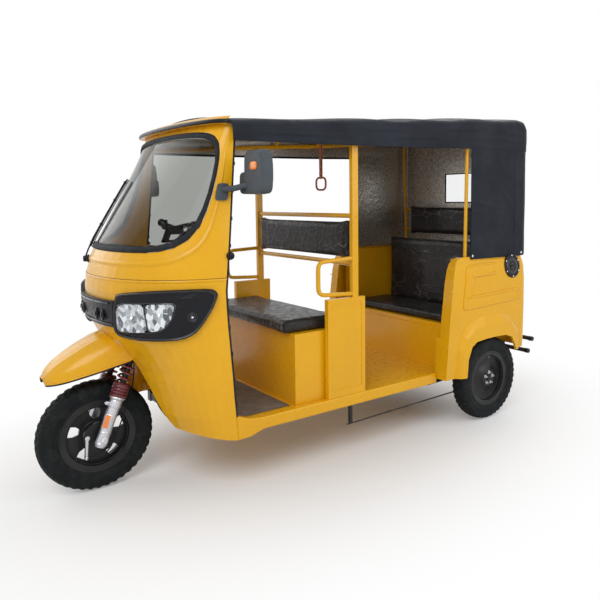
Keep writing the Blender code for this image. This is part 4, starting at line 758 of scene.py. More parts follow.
TREAD_HALF = (
    # radius, distance from the middle, how far a groove lies lower and further in
    (0.1525, 0.0340, 0, 0), (0.1660, 0.0400, 0, 0), (0.1820, 0.0452, 0, 0),
    (0.1975, 0.0484, 0, 0), (0.1990, 0.0494, 0, 0), (0.2020, 0.0495, 0, 0),
    (0.2035, 0.0490, 0, 0), (0.2160, 0.0500, 0, 0), (0.2290, 0.0488, 0, 0.0004),
    (0.2372, 0.0464, 0.0010, 0.0022), (0.2440, 0.0420, 0.0032, 0.0022),
    (0.2492, 0.0350, 0.0040, 0.0010), (0.2520, 0.0260, 0.0040, 0), (0.2534, 0.0170, 0.0036, 0),
    (0.2538, 0.0130, 0.0006, 0), (0.2502, 0.0118, 0, 0), (0.2502, 0.0098, 0, 0),
    (0.2542, 0.0086, 0, 0),
)


def tread(name, centre, body, node):
    """Tyre with slanting staggered shoulder blocks, a zigzag centre rib and ringed walls."""
    lugs = 42
    rows = []
    for k in range(lugs * 4):
        a = 2 * math.pi * (k // 4 + (0.0, 0.44, 0.52, 0.92)[k % 4]) / lugs
        row = []
        for s in (-1, 1):
            low = (k % 4 in (2, 3)) == (s > 0)
            part = [(r - drop * low, s * (w - inward * low)) for r, w, drop, inward in TREAD_HALF]
            row += part if s < 0 else [(0.2546, 0.002 if k % 4 in (1, 2) else -0.002)] + part[::-1]
        ring = []
        for r, w in row:
            turn = a + math.copysign(0.055 * max(0.0, 1 - abs(w) / 0.05), w)
            ring.append((centre[0] + w, centre[1] + r * math.cos(turn),
                         centre[2] + r * math.sin(turn)))
        rows.append(ring)
    return Shape().rows(rows, loop=True).piece(name, TYRE, 26, body, replaces=(node,))


def wheel_ring(shape, centre, out, radius, thick):
    """Bead round a wheel at a distance out from its middle plane."""
    shape.tube([(centre[0] + out, centre[1] + radius * math.cos(a), AXLE_Z + radius * math.sin(a))
                for a in turns(72)], thick, 8, loop=True)


def build_wheels():
    front = (0.0, 0.0, AXLE_Z)
    tread("front_tyre_tread", front, "front_wheel", "front_tyre")
    drum = Shape()
    drum.turn(((0.0455, -0.050), (0.063, -0.050), (0.066, -0.047), (0.066, -0.010),
               (0.069, -0.007), (0.069, 0.007), (0.066, 0.010), (0.066, 0.030), (0.068, 0.033),
               (0.068, 0.041), (0.066, 0.0445), (0.050, 0.0445)), front, (1, 0, 0), 56)
    for s in (-1, 1):
        wheel_ring(drum, front, s * 0.0385, 0.1650, 0.0034)
        wheel_ring(drum, front, s * 0.0300, 0.1335, 0.0024)
    drum.piece("front_hub_drum", RIM_BLACK, 35, "front_wheel")
    nuts = Shape()
    for a in turns(5, 0.75):
        at = (-0.0055, 0.082 * math.cos(a), AXLE_Z + 0.082 * math.sin(a))
        bolt(nuts, at, (-1, 0, 0), 0.0055, 0.006)
    nuts.tube([(0.014, 0.0, AXLE_Z + 0.139), (0.030, 0.0, AXLE_Z + 0.132),
               (0.040, 0.0, AXLE_Z + 0.126)], (0.004, 0.0032, 0.0028), 8)
    nuts.piece("front_wheel_nuts", SILVER, 35, "front_wheel")
    for s, label in ((1, "rear_left"), (-1, "rear_right")):
        centre = (s * TRACK_HALF, WHEELBASE, AXLE_Z)
        body = label + "_wheel"
        tread(label + "_tyre_tread", centre, body, label + "_tyre")
        disc = Shape()
        disc.turn(((0.1345, 0.0105), (0.1290, 0.0068), (0.0920, 0.0064), (0.080, 0.013),
                   (0.066, 0.018), (0.050, 0.0345), (0.030, 0.0352), (0.0165, 0.0352)), centre,
                  (s, 0, 0), 56, caps=False)
        wheel_ring(disc, centre, s * 0.0385, 0.1650, 0.0034)
        wheel_ring(disc, centre, s * 0.0300, 0.1320, 0.0026)
        disc.turn(((0.0170, 0.030), (0.0170, 0.0385), (0.0140, 0.0420), (0.0050, 0.0435),
                   (0.0004, 0.0436)), centre, (s, 0, 0), 28)
        face = Vector(centre) + Vector((s * 0.0345, 0, 0))
        for a in turns(4, 0.5):
            d = Vector((0, math.cos(a), math.sin(a)))
            disc.tube([face + d * 0.020, face + d * 0.047], 0.0042, 8)
        disc.piece(label + "_disc", RIM_BLACK, 35, body)
        nuts = Shape()
        for a in turns(5, 0.2):
            at = face + Vector((0, math.cos(a), math.sin(a))) * 0.034
            bolt(nuts, at, (s, 0, 0), 0.0068, 0.010)
            nuts.turn(((0.0034, 0.008), (0.0034, 0.0165), (0.0022, 0.018)), at, (s, 0, 0), 10)
        nuts.tube([(centre[0] + s * 0.014, centre[1], AXLE_Z + 0.139),
                   (centre[0] + s * 0.036, centre[1], AXLE_Z + 0.128)], (0.0036, 0.0028), 8)
        nuts.piece(label + "_wheel_nuts", SILVER, 35, body)


# Fork

def build_fork():
    """Boots, collars, reflectors, bolts and grips."""
    boots, silver, amber, studs = Shape(), Shape(), Shape(), Shape()
    up = steer_point(1.0) - steer_point(0.0)
    fore = Vector((0, -math.cos(RAKE), math.sin(RAKE)))
    for s in (1, -1):
        x = s * FORK_X
        profile = [(0.0300, 0.2005), (0.0360, 0.2015)]
        for k in range(4):
            z = 0.2050 + k * 0.0140
            profile += [(0.0392 - 0.0004 * k, z + 0.0010), (0.0398 - 0.0004 * k, z + 0.0045),
                        (0.0375, z + 0.0085), (0.0348, z + 0.0110)]
        profile += [(0.0355, 0.2615), (0.0300, 0.2640)]
        boots.turn(profile, steer_point(0.0, x), up, 36)
        silver.turn(((0.0262, 0.182), (0.0300, 0.188), (0.0352, 0.1925), (0.0362, 0.1965),
                     (0.0350, 0.2002), (0.0300, 0.2006)), steer_point(0.0, x), up, 36)
        silver.turn(((0.0262, 0.150), (0.0285, 0.153), (0.0285, 0.158), (0.0262, 0.161)),
                    steer_point(0.0, x), up, 36)
        for z in (-0.022, 0.030):
            silver.turn(((0.0261, z), (0.0272, z + 0.002), (0.0272, z + 0.006), (0.0261, z + 0.008)),
                        steer_point(0.0, x), up, 36)
        ear = steer_point(0.163, x, 0.034)
        silver.block(ear, (0.013, 0.022, 0.016), 0.003, Matrix.Rotation(-RAKE, 4, "X"))
        bolt(studs, ear + fore * 0.010, fore, 0.0045, 0.004)
        turn = math.radians(38)
        out = Vector((s, 0, 0)) * math.cos(turn) + fore * math.sin(turn)
        across = (up.cross(out)).normalized()
        at = steer_point(0.086, x) + out * 0.0268
        m = Matrix((across, up, out)).transposed().to_4x4()
        silver.block(at, (0.0275, 0.064, 0.004), 0.0012, m)
        amber.block(at + out * 0.0022, (0.0225, 0.0585, 0.004), 0.0012, m)
        for r, h in ((0.0165, 0.003), (0.0125, 0.009)):
            studs.turn(((r, 0.0), (r, h), (r * 0.85, h + 0.0012)),
                       (x + s * 0.0262, 0.0, AXLE_Z), (s, 0, 0), 6 if r < 0.014 else 24)
    boots.piece("fork_boots", BOOT, 30, "steering")
    silver.piece("fork_collars", SILVER, 30, "steering")
    amber.piece("fork_reflectors", AMBER, 30, "steering")
    arm = Shape()
    for k in range(12):
        t = k / 12
        arm.block((0.0640, -0.0562 - 0.005 * t, AXLE_Z + 0.002 - 0.080 * t),
                  (0.0024, 0.0130 - 0.004 * t, 0.0078), 0.0008)
    arm.piece("brake_lever_face", SILVER, 30, "steering")
    studs.turn(((0.0105, 0.0), (0.0105, 0.0022), (0.0070, 0.0030), (0.0070, 0.0052)),
               (0.0637, -0.0545, AXLE_Z + 0.008), (1, 0, 0), 20)
    for z in (-0.020, -0.042, -0.060):
        studs.turn(((0.0034, 0.0), (0.0034, 0.0010), (0.0020, 0.0013)),
                   (0.0637, -0.0565 + 0.05 * z, AXLE_Z + z), (1, 0, 0), 12)
    studs.turn(((0.0075, -0.0030), (0.0075, 0.0035), (0.0050, 0.0050)),
               (0.0637, -0.0610, AXLE_Z - 0.083), (1, 0, 0), 16)
    studs.piece("fork_bolts", SILVER, 30, "steering")
    grips = Shape()
    middle = Vector((0, steer_point(1.010).y + 0.030, 1.224))
    for s in (1, -1):
        inner = middle + Vector((s * 0.2350, 0.0246, 0))
        outer = middle + Vector((s * 0.3345, 0.0618, 0))
        radii = [0.0172 + (0.0008 if k % 2 else 0.0) + (0.0022 if k in (0, 1, 28) else 0.0)
                 for k in range(29)]
        grips.tube([inner.lerp(outer, k / 28) for k in range(29)], radii, 20)
        hub = inner.lerp(middle, 0.14)
        grips.block(hub, (0.036, 0.036, 0.034), 0.006)
    grips.piece("handlebar_grips", BLACK_PLASTIC, 30, "steering")


# Cab

def build_cab():
    """Creases, seam, edge trim and the lip of the roof cap."""
    crease = Shape()
    line = list(CREASE) + [(-a, z) for a, z in CREASE[-2::-1]]
    path = spline([(a / 100, z, 0) for a, z in line], 0.008)
    rows = []
    for k, p in enumerate(path):
        before, after = path[max(k - 1, 0)], path[min(k + 1, len(path) - 1)]
        run = Vector(((after.x - before.x) * 100 * DEGREE, after.y - before.y)).normalized()
        fade = min(1.0, k / 10, (len(path) - 1 - k) / 10)
        row = []
        for t, off in ((-1, 0.0), (-0.6, 0.0012), (-0.25, 0.0036), (0, 0.0042), (0.25, 0.0036),
                       (0.6, 0.0012), (1, 0.0)):
            dz, da = -run.x * t * CREASE_HALF, run.y * t * CREASE_HALF / DEGREE
            row.append(cab_deg(p.x * 100 + da, p.y + dz, 0.0006 + off * fade))
        rows.append(row)
    crease.rows(rows)
    crease.rows([[cab_deg(a, z, off) for z, off in ((0.9875, 0.0002), (0.9905, 0.0022),
                                                    (0.9965, 0.0022), (0.9990, 0.0004))]
                 for a in np.linspace(-90, 90, 121)])
    crease.piece("cab_creases", YELLOW, 60)
    seam = Shape()
    seam.rows([[cab_deg(a, z, 0.0012) for z in (0.9993, 1.0012)] for a in np.linspace(-90, 90, 121)])
    seam.piece("cab_seam", SHADOW)

    trim, knobs = Shape(), Shape()
    for s in (1, -1):
        trim.tube([cab_deg(90 * s, z, -0.006) + Vector((0, 0.0055, 0))
                   for z in np.linspace(0.345, 1.655, 60)], 0.0062, 10)
        for z in np.linspace(0.42, 1.62, 11):
            p = cab_deg(90 * s, z, -0.006) + Vector((0, 0.0085, 0))
            knobs.block(p, (0.011, 0.010, 0.016), 0.002)
        p = cab_deg(90 * s, 1.096, -0.004) + Vector((-s * 0.014, 0.010, 0))
        knobs.turn(((0.009, 0.0), (0.009, 0.010), (0.0165, 0.014), (0.0185, 0.022),
                    (0.0165, 0.029), (0.009, 0.033), (0.0008, 0.034)), p, (s, 0, 0), 24)
    trim.piece("cab_edge_trim", SEAL, 60)
    knobs.piece("cab_edge_clips", BLACK_PLASTIC, 30)

    lip = Shape()
    rows = []
    for a in np.linspace(-90, 90, 97):
        row = []
        for out, z in ((0.0300, 0.0022), (0.0345, 0.0034), (0.0362, 0.0085), (0.0352, 0.0150),
                       (0.0300, 0.0205), (0.0215, 0.0222)):
            p = cab_deg(a, CAB_TOP, out)
            row.append((p.x, min(p.y, 0.4525), CAB_TOP + z))
        rows.append(row)
    lip.rows(rows).piece("roof_cap_lip", BLACK_PLASTIC, 60)


def build_windshield():
    """Evenly divided pane in place of the solid, which bends light more smoothly."""
    loop = list(SCREEN_HALF) + [(-a, z) for a, z in SCREEN_HALF[-2:0:-1]]
    pane = grown(even_loop(eased(loop, 1), 120), -4.25, -0.0278)
    glass = Shape()
    skin_pane(glass, pane, 1, lambda t: -0.003, 0.0050, 26)
    glass.piece("windshield_pane", GLASS, 80, replaces=("windshield_glass",))


def build_lamps():
    """Rims, bowls, bulbs and lenses laid on the cab's skin."""
    bowls, domes, glossy, bulbs = Shape(), Shape(), Shape(), Shape()
    for side, label in ((1, "left"), (-1, "right")):
        rim = even_loop(eased(LAMP_SHAPE, 2), 110)
        skin_band(glossy, grown(rim, -0.4, -0.002), grown(rim, -2.0, -0.013), side,
                  ((0.0, 0.0165), (0.12, 0.0215), (0.35, 0.0235), (0.7, 0.0215), (1.0, 0.0182)))
        lens = even_loop(eased(LENS_SHAPE, 2), 80)
        skin_band(glossy, grown(lens, 1.0, 0.008), grown(lens, 0.0, 0.0), side,
                  ((0.0, 0.0180), (0.3, 0.0205), (0.7, 0.0215), (0.9, 0.0205), (1.0, 0.0100)))
        for bowl in (INNER_BOWL, OUTER_BOWL):
            loop = even_loop(eased(bowl, 2, 0.88), 64)
            skin_patch(bowls, loop, side, lambda t: 0.0098 + 0.0085 * t ** 2.2, 8)
            mid = np.mean(np.array(loop), axis=0)
            p, n = cab_frame(mid[0] * side, mid[1], 0.0098)
            bulbs.turn(((0.0085, 0.0), (0.0085, 0.004), (0.006, 0.0072), (0.0005, 0.0084)), p, n, 20)
        glossy.rows([[cab_deg(a * side, z, off) for a, off in
                      ((44.7, 0.0120), (45.0, 0.0170), (45.9, 0.0170), (46.2, 0.0120))]
                     for z in np.linspace(0.782, 0.898, 12)])
        cover = Shape()
        skin_pane(cover, grown(lens, -0.2, -0.0010), side, lambda t: 0.0225 - 0.0015 * t ** 3, 0.0018,
                  8)
        cover.piece("lens_" + label, CLEAR_LENS, 60, replaces=("headlamp_" + label,), slot="clear_glass")
        p, n = cab_frame(71.0 * side, 0.8425, LAMP_OUT - 0.001)
        glossy.turn(((0.0230, 0.0), (0.0220, 0.0040), (0.0170, 0.0055), (0.0150, 0.0030)), p, n, 36,
                    caps=False)
        glossy.turn(((0.0148, 0.0030), (0.0100, 0.0012), (0.0005, 0.0010)), p, n, 30)
        bulbs.turn(((0.0052, 0.0010), (0.0050, 0.0040), (0.0030, 0.0060), (0.0005, 0.0066)), p, n, 18)
        domes.turn(((0.0150, 0.0025), (0.0145, 0.0060), (0.0110, 0.0090), (0.0060, 0.0108),
                    (0.0006, 0.0112)), p, n, 30)
        for a in (9.5, 15.5):
            q, d = cab_frame(a * side, 0.838, LAMP_OUT)
            m = Matrix.Rotation(math.atan2(d.x, -d.y), 4, "Z")
            glossy.block(q + d * 0.003, (0.013, 0.012, 0.050), 0.0025, m)
            glossy.block(q + d * 0.010, (0.008, 0.006, 0.020), 0.0015, m)
    for z in (0.800, 0.893):
        glossy.tube([cab_deg(a, z, LAMP_OUT + 0.0005) for a in np.linspace(-21.5, 21.5, 24)],
                    0.0032, 8)
    glossy.piece("lamp_rims", GLOSS_BLACK, 45, slot="black_plastic")
    bowls.piece("lamp_reflectors", LAMP_BOWL)
    bulbs.piece("lamp_bulbs", CHROME)
    domes.piece("turn_lamps", CLEAR_LENS, 40, slot="clear_glass")


def build_mudguard():
    """The guard with two raised creases, a rolled edge and a rubber strip under it."""
    count = 40
    ts = np.linspace(0, len(GUARD_ROWS) - 1, count)
    fine = []
    for k in range(5):
        curve = spline([(n, row[k], 0) for n, row in enumerate(GUARD_ROWS)], 0.05)
        fine.append(np.interp(ts, [p.x for p in curve], [p.y for p in curve]))
    outer, inner = [], []
    angles = np.radians(np.linspace(-90, 90, 61))
    for n in range(count):
        top_y, top_z, half, edge_y, edge_z = (fine[k][n] for k in range(5))
        row_out, row_in = [], []
        for a in angles:
            s, c = math.sin(a), math.cos(a)
            x = half * math.copysign(abs(s) ** 0.8, s)
            ridge = 0.0035 * math.exp(-((abs(x) - half * 0.48) / 0.0075) ** 2) * min(n / 4, 1)
            z = edge_z + (top_z - edge_z) * c ** 0.8 + ridge * c
            y = edge_y + (top_y - edge_y) * c
            low = (x * (1 - 0.005 / half), y + (0.005 if n == count - 1 else 0), z - 0.005 * c)
            if n == 0:
                nose, wide, rear = cab_row(z)
                y = rear - (rear - nose) * (1 - min(abs(x / wide), 1) ** 2.2) ** (1 / 2.2) - 0.0005
                low = (low[0], y, low[2])
            row_out.append((x, y, z))
            row_in.append(low)
        outer.append(row_out)
        inner.append(row_in)
    skin = Shape()
    skin.rows(outer)
    skin.rows(inner)
    skin.rows([outer[-1], inner[-1]])
    left = [row[0] for row in outer[1:]]
    right = [row[-1] for row in outer[1:]]
    path = [Vector(p) for p in left + outer[-1][1:-1] + right[::-1]]
    skin.tube([p + Vector((0, 0, 0.0015)) for p in path], 0.0038, 8)
    skin.piece("mudguard_skin", YELLOW, 50, replaces=("front_mudguard",))
    strip = [p + Vector((0, 0.001, -0.0048)) for p in path]
    Shape().tube(strip, 0.0042, 8).piece("mudguard_edging", SEAL, 60)


MIRROR_X, MIRROR_Z = 0.6525, 1.457


def build_mirrors():
    pill, glass, rims = Shape(), Shape(), Shape()
    loop = rounded(28, 0.55, 0.7)
    for s in (1, -1):
        x = s * 0.664
        pill.rows([[(x + 0.029 * grow * c, 0.4838 + lift, 1.482 + 0.0175 * grow * d)
                    for c, d in loop]
                   for grow, lift in ((1.0, 0.0), (1.0, -0.003), (0.9, -0.0048), (0.6, -0.0056),
                                      (0.02, -0.0058))], ring=True, caps=True)
        x = s * MIRROR_X
        glass.rows([[(x + 0.070 * grow * c, 0.5362 + 0.0012 * (1 - grow * grow),
                      MIRROR_Z + 0.083 * grow * d) for c, d in loop]
                    for grow in (1.0, 0.7, 0.4, 0.02)], ring=True, caps=True)
        for half_x, half_z, y, thick in ((0.074, 0.0865, 0.5362, 0.0042),
                                         (0.0775, 0.090, 0.4905, 0.0028)):
            rims.tube([(x + half_x * c, y, MIRROR_Z + half_z * d) for c, d in loop], thick, 8,
                      loop=True)
        for z in (1.350, 1.402):
            bolt(rims, *cab_frame(82.2 * s, z, 0.0088), 0.0048, 0.003)
    pill.piece("mirror_reflectors", AMBER)
    glass.piece("mirror_glasses", CHROME)
    rims.piece("mirror_rims", GREY_PLASTIC)


def build_wiper():
    blade = Shape()
    fine = spline([cab_deg(a, z, 0.0155) for a, z in WIPER_PATH], 0.01)
    blade.tube(fine, 0.0042, 8)
    blade.tube([p + Vector((0, 0.0065, -0.004)) for p in fine], 0.0024, 6)
    for k in (2, len(fine) // 3, 2 * len(fine) // 3, len(fine) - 3):
        blade.block(fine[k] + Vector((0, -0.002, 0.001)), (0.012, 0.012, 0.014), 0.002)
    p, n = cab_frame(-23, 1.058)
    blade.turn(((0.020, 0.0005), (0.020, 0.006), (0.015, 0.012), (0.015, 0.024), (0.012, 0.028),
                (0.001, 0.029)), p, n, 28)
    blade.piece("wiper_blade", BLACK_PLASTIC)


# Body fittings

PANEL_START_Y = 1.742
SERVICE_CAP_Y, SERVICE_CAP_Z = 2.332, 0.935
# The panel's lean at the service cap
SERVICE_CAP_LEAN = 0.115
BUMPER_ENDS = ((2.6138, 0.4206), (2.575, 0.345))
BUMPER_HALF = 0.549
TAIL_LAMP_X, TAIL_LAMP_Y = 0.485, 2.4885
# Rivets that are mirrored: x, y, z, radius
RIVETS = ((0.5018, 0.995, 0.395, 0.0042), (0.5018, 0.995, 0.800, 0.0042),
          (0.5018, 1.190, 0.395, 0.0042), (0.5018, 1.190, 0.800, 0.0042),
          (0.4998, 1.149, 1.015, 0.0060), (0.4998, 1.149, 1.262, 0.0060),
          (0.5098, 0.620, 0.306, 0.0050), (0.5098, 1.360, 0.306, 0.0050),
          (0.5098, 1.700, 0.306, 0.0050))
PANEL_RIVETS = ((1.768, 0.60), (1.776, 0.82), (1.764, 0.44))
PANEL_EMBOSS = ((0.165, 0.921), (0.180, 0.945), (0.205, 0.956), (0.400, 0.962), (0.412, 0.950),
                (0.412, 0.912), (0.402, 0.902), (0.230, 0.896), (0.217, 0.882), (0.196, 0.782),
                (0.206, 0.772), (0.615, 0.786), (0.628, 0.775), (0.630, 0.738), (0.618, 0.727),
                (0.180, 0.710), (0.150, 0.716), (0.140, 0.739))


def panel_out(z):
    """How far out the side panel is at a height."""
    return 0.592 - float(np.interp(z, (0.29, 0.45, 0.65, 0.85, 0.93, 0.972, 0.99, 1.016),
                                   (0.012, 0.003, 0.0, 0.002, 0.008, 0.016, 0.028, 0.031)))


def build_service_cap():
    cap, shiny, heads = Shape(), Shape(), Shape()
    at = Vector((panel_out(SERVICE_CAP_Z) - 0.0010, SERVICE_CAP_Y, SERVICE_CAP_Z))
    out = Vector((1.0, 0.0, SERVICE_CAP_LEAN)).normalized()
    up = Vector((-SERVICE_CAP_LEAN, 0.0, 1.0)).normalized()
    cap.turn(((0.0745, -0.004), (0.0740, 0.0050), (0.0700, 0.0078), (0.0600, 0.0082),
              (0.0560, 0.0060), (0.0555, 0.0035)), at, out, 56, caps=False)
    shiny.turn(((0.0560, 0.0030), (0.0535, 0.0062), (0.0400, 0.0085), (0.0200, 0.0100),
                (0.0010, 0.0102)), at, out, 48)
    cap.turn(((0.0300, 0.0088), (0.0290, 0.0118), (0.0240, 0.0122), (0.0230, 0.0095)), at,
             out, 40, caps=False)
    cap.block(at + out * 0.0115, (0.007, 0.052, 0.011), 0.0028)
    for a in turns(6, 0.5):
        across = Vector((0, 1, 0)) * math.cos(a) + up * math.sin(a)
        rivet(heads, at + out * 0.0079 + across * 0.065, out, 0.0042)
    cap.piece("service_cap", BLACK_PLASTIC, 35)
    shiny.piece("service_cap_plate", GLOSS_BLACK, 35)
    heads.piece("service_cap_rivets", SILVER, 35)


def build_panels():
    """Rivets and the raised outline on the side panels."""
    heads = Shape()
    for s in (1, -1):
        for x, y, z, radius in RIVETS:
            rivet(heads, (s * x, y, z), (s, 0, 0), radius)
        for y, z in PANEL_RIVETS:
            rivet(heads, (s * (panel_out(z) - 0.0005), y, z), (s, 0, 0), 0.0040)
    heads.piece("body_rivets", YELLOW, 35)
    beads = Shape()
    for s in (1, -1):
        line = spline([(y, z, 0) for y, z in PANEL_EMBOSS + PANEL_EMBOSS[:1]], 0.006)
        beads.tube([(s * (panel_out(p.y) + 0.0012), PANEL_START_Y + p.x, p.y) for p in line[:-1]],
                   0.0075, 12, loop=True)
    beads.piece("panel_beads", YELLOW, 80)


def build_caps():
    """Caps on the tubes' ends, and the instrument pod with its dials."""
    caps, dials = Shape(), Shape()
    for y, z in BUMPER_ENDS:
        for s in (1, -1):
            caps.turn(((0.0148, -0.030), (0.0158, -0.028), (0.0158, -0.002), (0.0135, 0.0005),
                       (0.0010, 0.0010)), (s * BUMPER_HALF, y, z), (s, 0, 0), 24)
    for s in (1, -1):
        for z in (0.300, 0.560):
            caps.turn(((0.012, 0.0), (0.011, 0.004), (0.002, 0.006)), (s * 0.3302, 0.4118, z),
                      (0, 1, 0), 16)
    pod = Matrix.Rotation(math.radians(-28), 4, "X")
    caps.block((0.0, 0.165, 1.012), (0.220, 0.085, 0.052), 0.016, pod, 4)
    caps.block((0.0, 0.142, 1.038), (0.235, 0.030, 0.020), 0.008, pod, 3)
    caps.piece("end_caps_and_pod", BLACK_PLASTIC, 35)
    n = Vector((0, math.sin(math.radians(28)), math.cos(math.radians(28))))
    for x in (-0.055, 0.055):
        dials.turn(((0.034, 0.0), (0.034, 0.004), (0.030, 0.005), (0.029, 0.002)),
                   Vector((x, 0.1655, 1.012)) + n * 0.0262, n, 32)
    dials.piece("dash_dials", GLOSS_BLACK, 35)


def build_tail_lamps():
    frames, lamps = Shape(), Shape()
    for s in (1, -1):
        x = s * TAIL_LAMP_X
        frames.tube([(x + 0.0515 * c, TAIL_LAMP_Y, 0.750 + 0.1115 * d)
                     for c, d in rounded(36, 0.35, 0.35)], 0.0052, 8, loop=True)
        for z in (0.712, 0.788):
            frames.block((x, 2.5158, z), (0.094, 0.004, 0.005), 0.0012)
        for z, half in ((0.825, 0.026), (0.750, 0.030), (0.675, 0.026)):
            lamps.turn(((half, 0.0), (half * 0.96, 0.0022), (half * 0.6, 0.0040),
                        (0.001, 0.0048)), (x, 2.5155, z), (0, 1, 0), 36)
    frames.piece("tail_lamp_frames", BLACK_PLASTIC, 35)
    lamps.piece("tail_lamp_domes", RED, 35)


def build_strap():
    """Strap looped over a bow, with its ring; y0 and bow_z are the bow's place."""
    y0, bow_z = 1.286, 1.7804
    line = [(-0.0035, 1.4770), (-0.0040, 1.560), (-0.0040, 1.700), (-0.0090, 1.745)]
    line += [(0.0134 * math.cos(a), bow_z + 0.0134 * math.sin(a))
             for a in np.radians(np.linspace(195, -15, 14))]
    line += [(0.0090, 1.745), (0.0040, 1.700), (0.0040, 1.560), (0.0035, 1.4770)]
    line += [(0.0074 * math.cos(a), 1.4760 + 0.0074 * math.sin(a))
             for a in np.radians(np.linspace(-10, -170, 9))]
    rows = []
    for k, (y, z) in enumerate(line):
        a, b = line[(k - 1) % len(line)], line[(k + 1) % len(line)]
        run = Vector((b[0] - a[0], b[1] - a[1])).normalized()
        ny, nz = -run.y * 0.0009, run.x * 0.0009
        rows.append([(x, y0 + y + ny * s, z + nz * s)
                     for x, s in ((-0.0105, -1), (-0.0105, 1), (0.0105, 1), (0.0105, -1))])
    web = Shape().rows(rows, ring=True, loop=True)
    web.block((0, y0, 1.500), (0.0215, 0.0125, 0.016), 0.002)
    web.piece("strap_webbing", STRAP, 40, replaces=("hand_strap",))
    loop = [(0.048 * c, y0, 1.440 + 0.036 * d) for c, d in rounded(48, 0.66, 0.66)]
    Shape().tube(loop, 0.0058, 12, loop=True).piece("strap_ring", STRAP, 60)


def build_cables():
    for name, points, radius, body in (("hub_brake_cable", HUB_CABLE, 0.003, "steering"),
                                       ("front_brake_cable", FRAME_CABLE, 0.004, "body")):
        path = [p + Vector((0, AXLE_Y, 0)) for p in spline(points, 0.016)]
        curve = bpy.data.curves.new(name + "_outer", "CURVE")
        curve.dimensions = "3D"
        line = curve.splines.new("POLY")
        line.points.add(len(path) - 1)
        for point, p in zip(line.points, path):
            point.co = (*p, 1.0)
        curve.bevel_depth = radius
        curve.bevel_resolution = 4
        curve.use_fill_caps = True
        curve.materials.append(SEAL)
        ob = bpy.data.objects.new(name + "_outer", curve)
        bpy.context.scene.collection.objects.link(ob)
        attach(ob, body)
        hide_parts(name)


# Canopy and curtains

CURTAIN_CREASES = (
    ((1.975, 1.332), (2.170, 1.308), 0.010, 0.0045), ((1.968, 1.270), (2.140, 1.283), 0.010, 0.0048),
    ((2.130, 1.282), (2.330, 1.320), 0.011, 0.0045), ((1.980, 1.246), (2.290, 1.293), 0.009, -0.0025),
    ((2.020, 1.470), (2.260, 1.455), 0.014, 0.0030), ((2.060, 1.130), (2.330, 1.150), 0.016, 0.0025),
    ((2.376, 1.010), (2.376, 1.655), 0.0080, 0.0022), ((2.00, 1.585), (2.20, 1.540), 0.012, 0.0026),
    ((2.24, 1.400), (2.36, 1.300), 0.011, 0.0026),
)
VALANCE_CREASES = (
    ((0.50, 1.665), (0.92, 1.690), 0.009, 0.0030), ((0.60, 1.640), (1.05, 1.655), 0.008, 0.0028),
    ((1.10, 1.700), (1.50, 1.722), 0.009, 0.0030), ((1.35, 1.668), (1.72, 1.690), 0.009, 0.0034),
    ((1.70, 1.735), (2.10, 1.760), 0.010, 0.0032), ((1.90, 1.700), (2.42, 1.722), 0.010, 0.0036),
    ((2.20, 1.770), (2.47, 1.752), 0.010, 0.0036),
)


def canopy_at(y):
    """Half width, shoulder height and doorway edge height of the canopy."""
    ys = [row[0] for row in CANOPY_ROWS]
    out, top, low = (float(np.interp(y, ys, [row[k] for row in CANOPY_ROWS])) for k in (1, 2, 3))
    return BODY_HALF_W + out, top, low


def crease_height(creases, y, z):
    """Height of the creases at a point; each has two ends, a width and a height."""
    total = 0.0
    for (y0, z0), (y1, z1), width, height in creases:
        d = Vector((y1 - y0, z1 - z0))
        t = min(max(((y - y0) * d.x + (z - z0) * d.y) / d.length_squared, 0.0), 1.0)
        off = math.hypot(y - y0 - d.x * t, z - z0 - d.y * t)
        total += height * math.exp(-(off / width) ** 2) * (0.25 + math.sin(math.pi * t))
    return total


def canopy_half(y, inset, lift, fine=False):
    """Left half of a section: x, z, normal and whether the point is on the side curtain.

    inset moves it inwards and lift raises its hems; fine gives points enough for creases.
    """
    half, top, low = canopy_at(y)
    r = CANOPY_CORNER_R
    pts = []
    for t in np.linspace(0, 1, 76 if fine else 26)[:-1]:
        z = CURTAIN_Z + lift + (low - 0.003 - CURTAIN_Z - lift) * t
        pts.append((half - 0.0035, z, 1.0, 0.0, True))
    for t in np.linspace(0, 1, 22 if fine else 10)[:-1]:
        pts.append((half, low + lift * 0.8 + (top - r - low - lift * 0.8) * t, 1.0, 0.0, False))
    for a in np.radians(np.linspace(0, 90, 10)):
        pts.append((half - r + r * math.cos(a), top - r + r * math.sin(a), math.cos(a), math.sin(a),
                    False))
    for t in np.linspace(0, 1, 24)[1:]:
        x = (half - r) * (1 - t)
        slope = 2 * CANOPY_CROWN * x / (half - r) ** 2
        size = math.hypot(slope, 1)
        pts.append((x, top + CANOPY_CROWN * (1 - (x / (half - r)) ** 2), slope / size, 1 / size,
                    False))
    return [(x - nx * inset, z - nz * inset, nx, nz, low_part) for x, z, nx, nz, low_part in pts]


def canopy_move(side, y, z, x, nz, curtain, creased=True):
    """How far the cloth stands out: sag between the bows, slow waves and creases."""
    a, b = next((a, b) for a, b in zip(BOWS, BOWS[1:]) if a <= y <= b)
    sag = min(0.020 * (b - a), 0.0085) * math.sin(math.pi * (y - a) / (b - a)) ** 2
    move = -sag * nz ** 3
    move += 0.0024 * noise.noise(Vector((x * 2.5, y * 2.4, side * 7.0))) * nz
    flat = 1 - nz
    if curtain:
        fade = min(1.0, (z - CURTAIN_Z) / 0.05 + 0.15)
        move += fade * 0.0034 * noise.noise(Vector((y * 2.2, z * 4.0, side * 3.0)))
        if creased:
            share = 1.0 if side > 0 else 0.7
            move += fade * share * crease_height(CURTAIN_CREASES, y, z)
    else:
        move += flat * 0.0026 * noise.noise(Vector((y * 1.7, z * 14.0, side * 5.0)))
        if creased:
            move += flat * crease_height(VALANCE_CREASES, y, z)
    return move


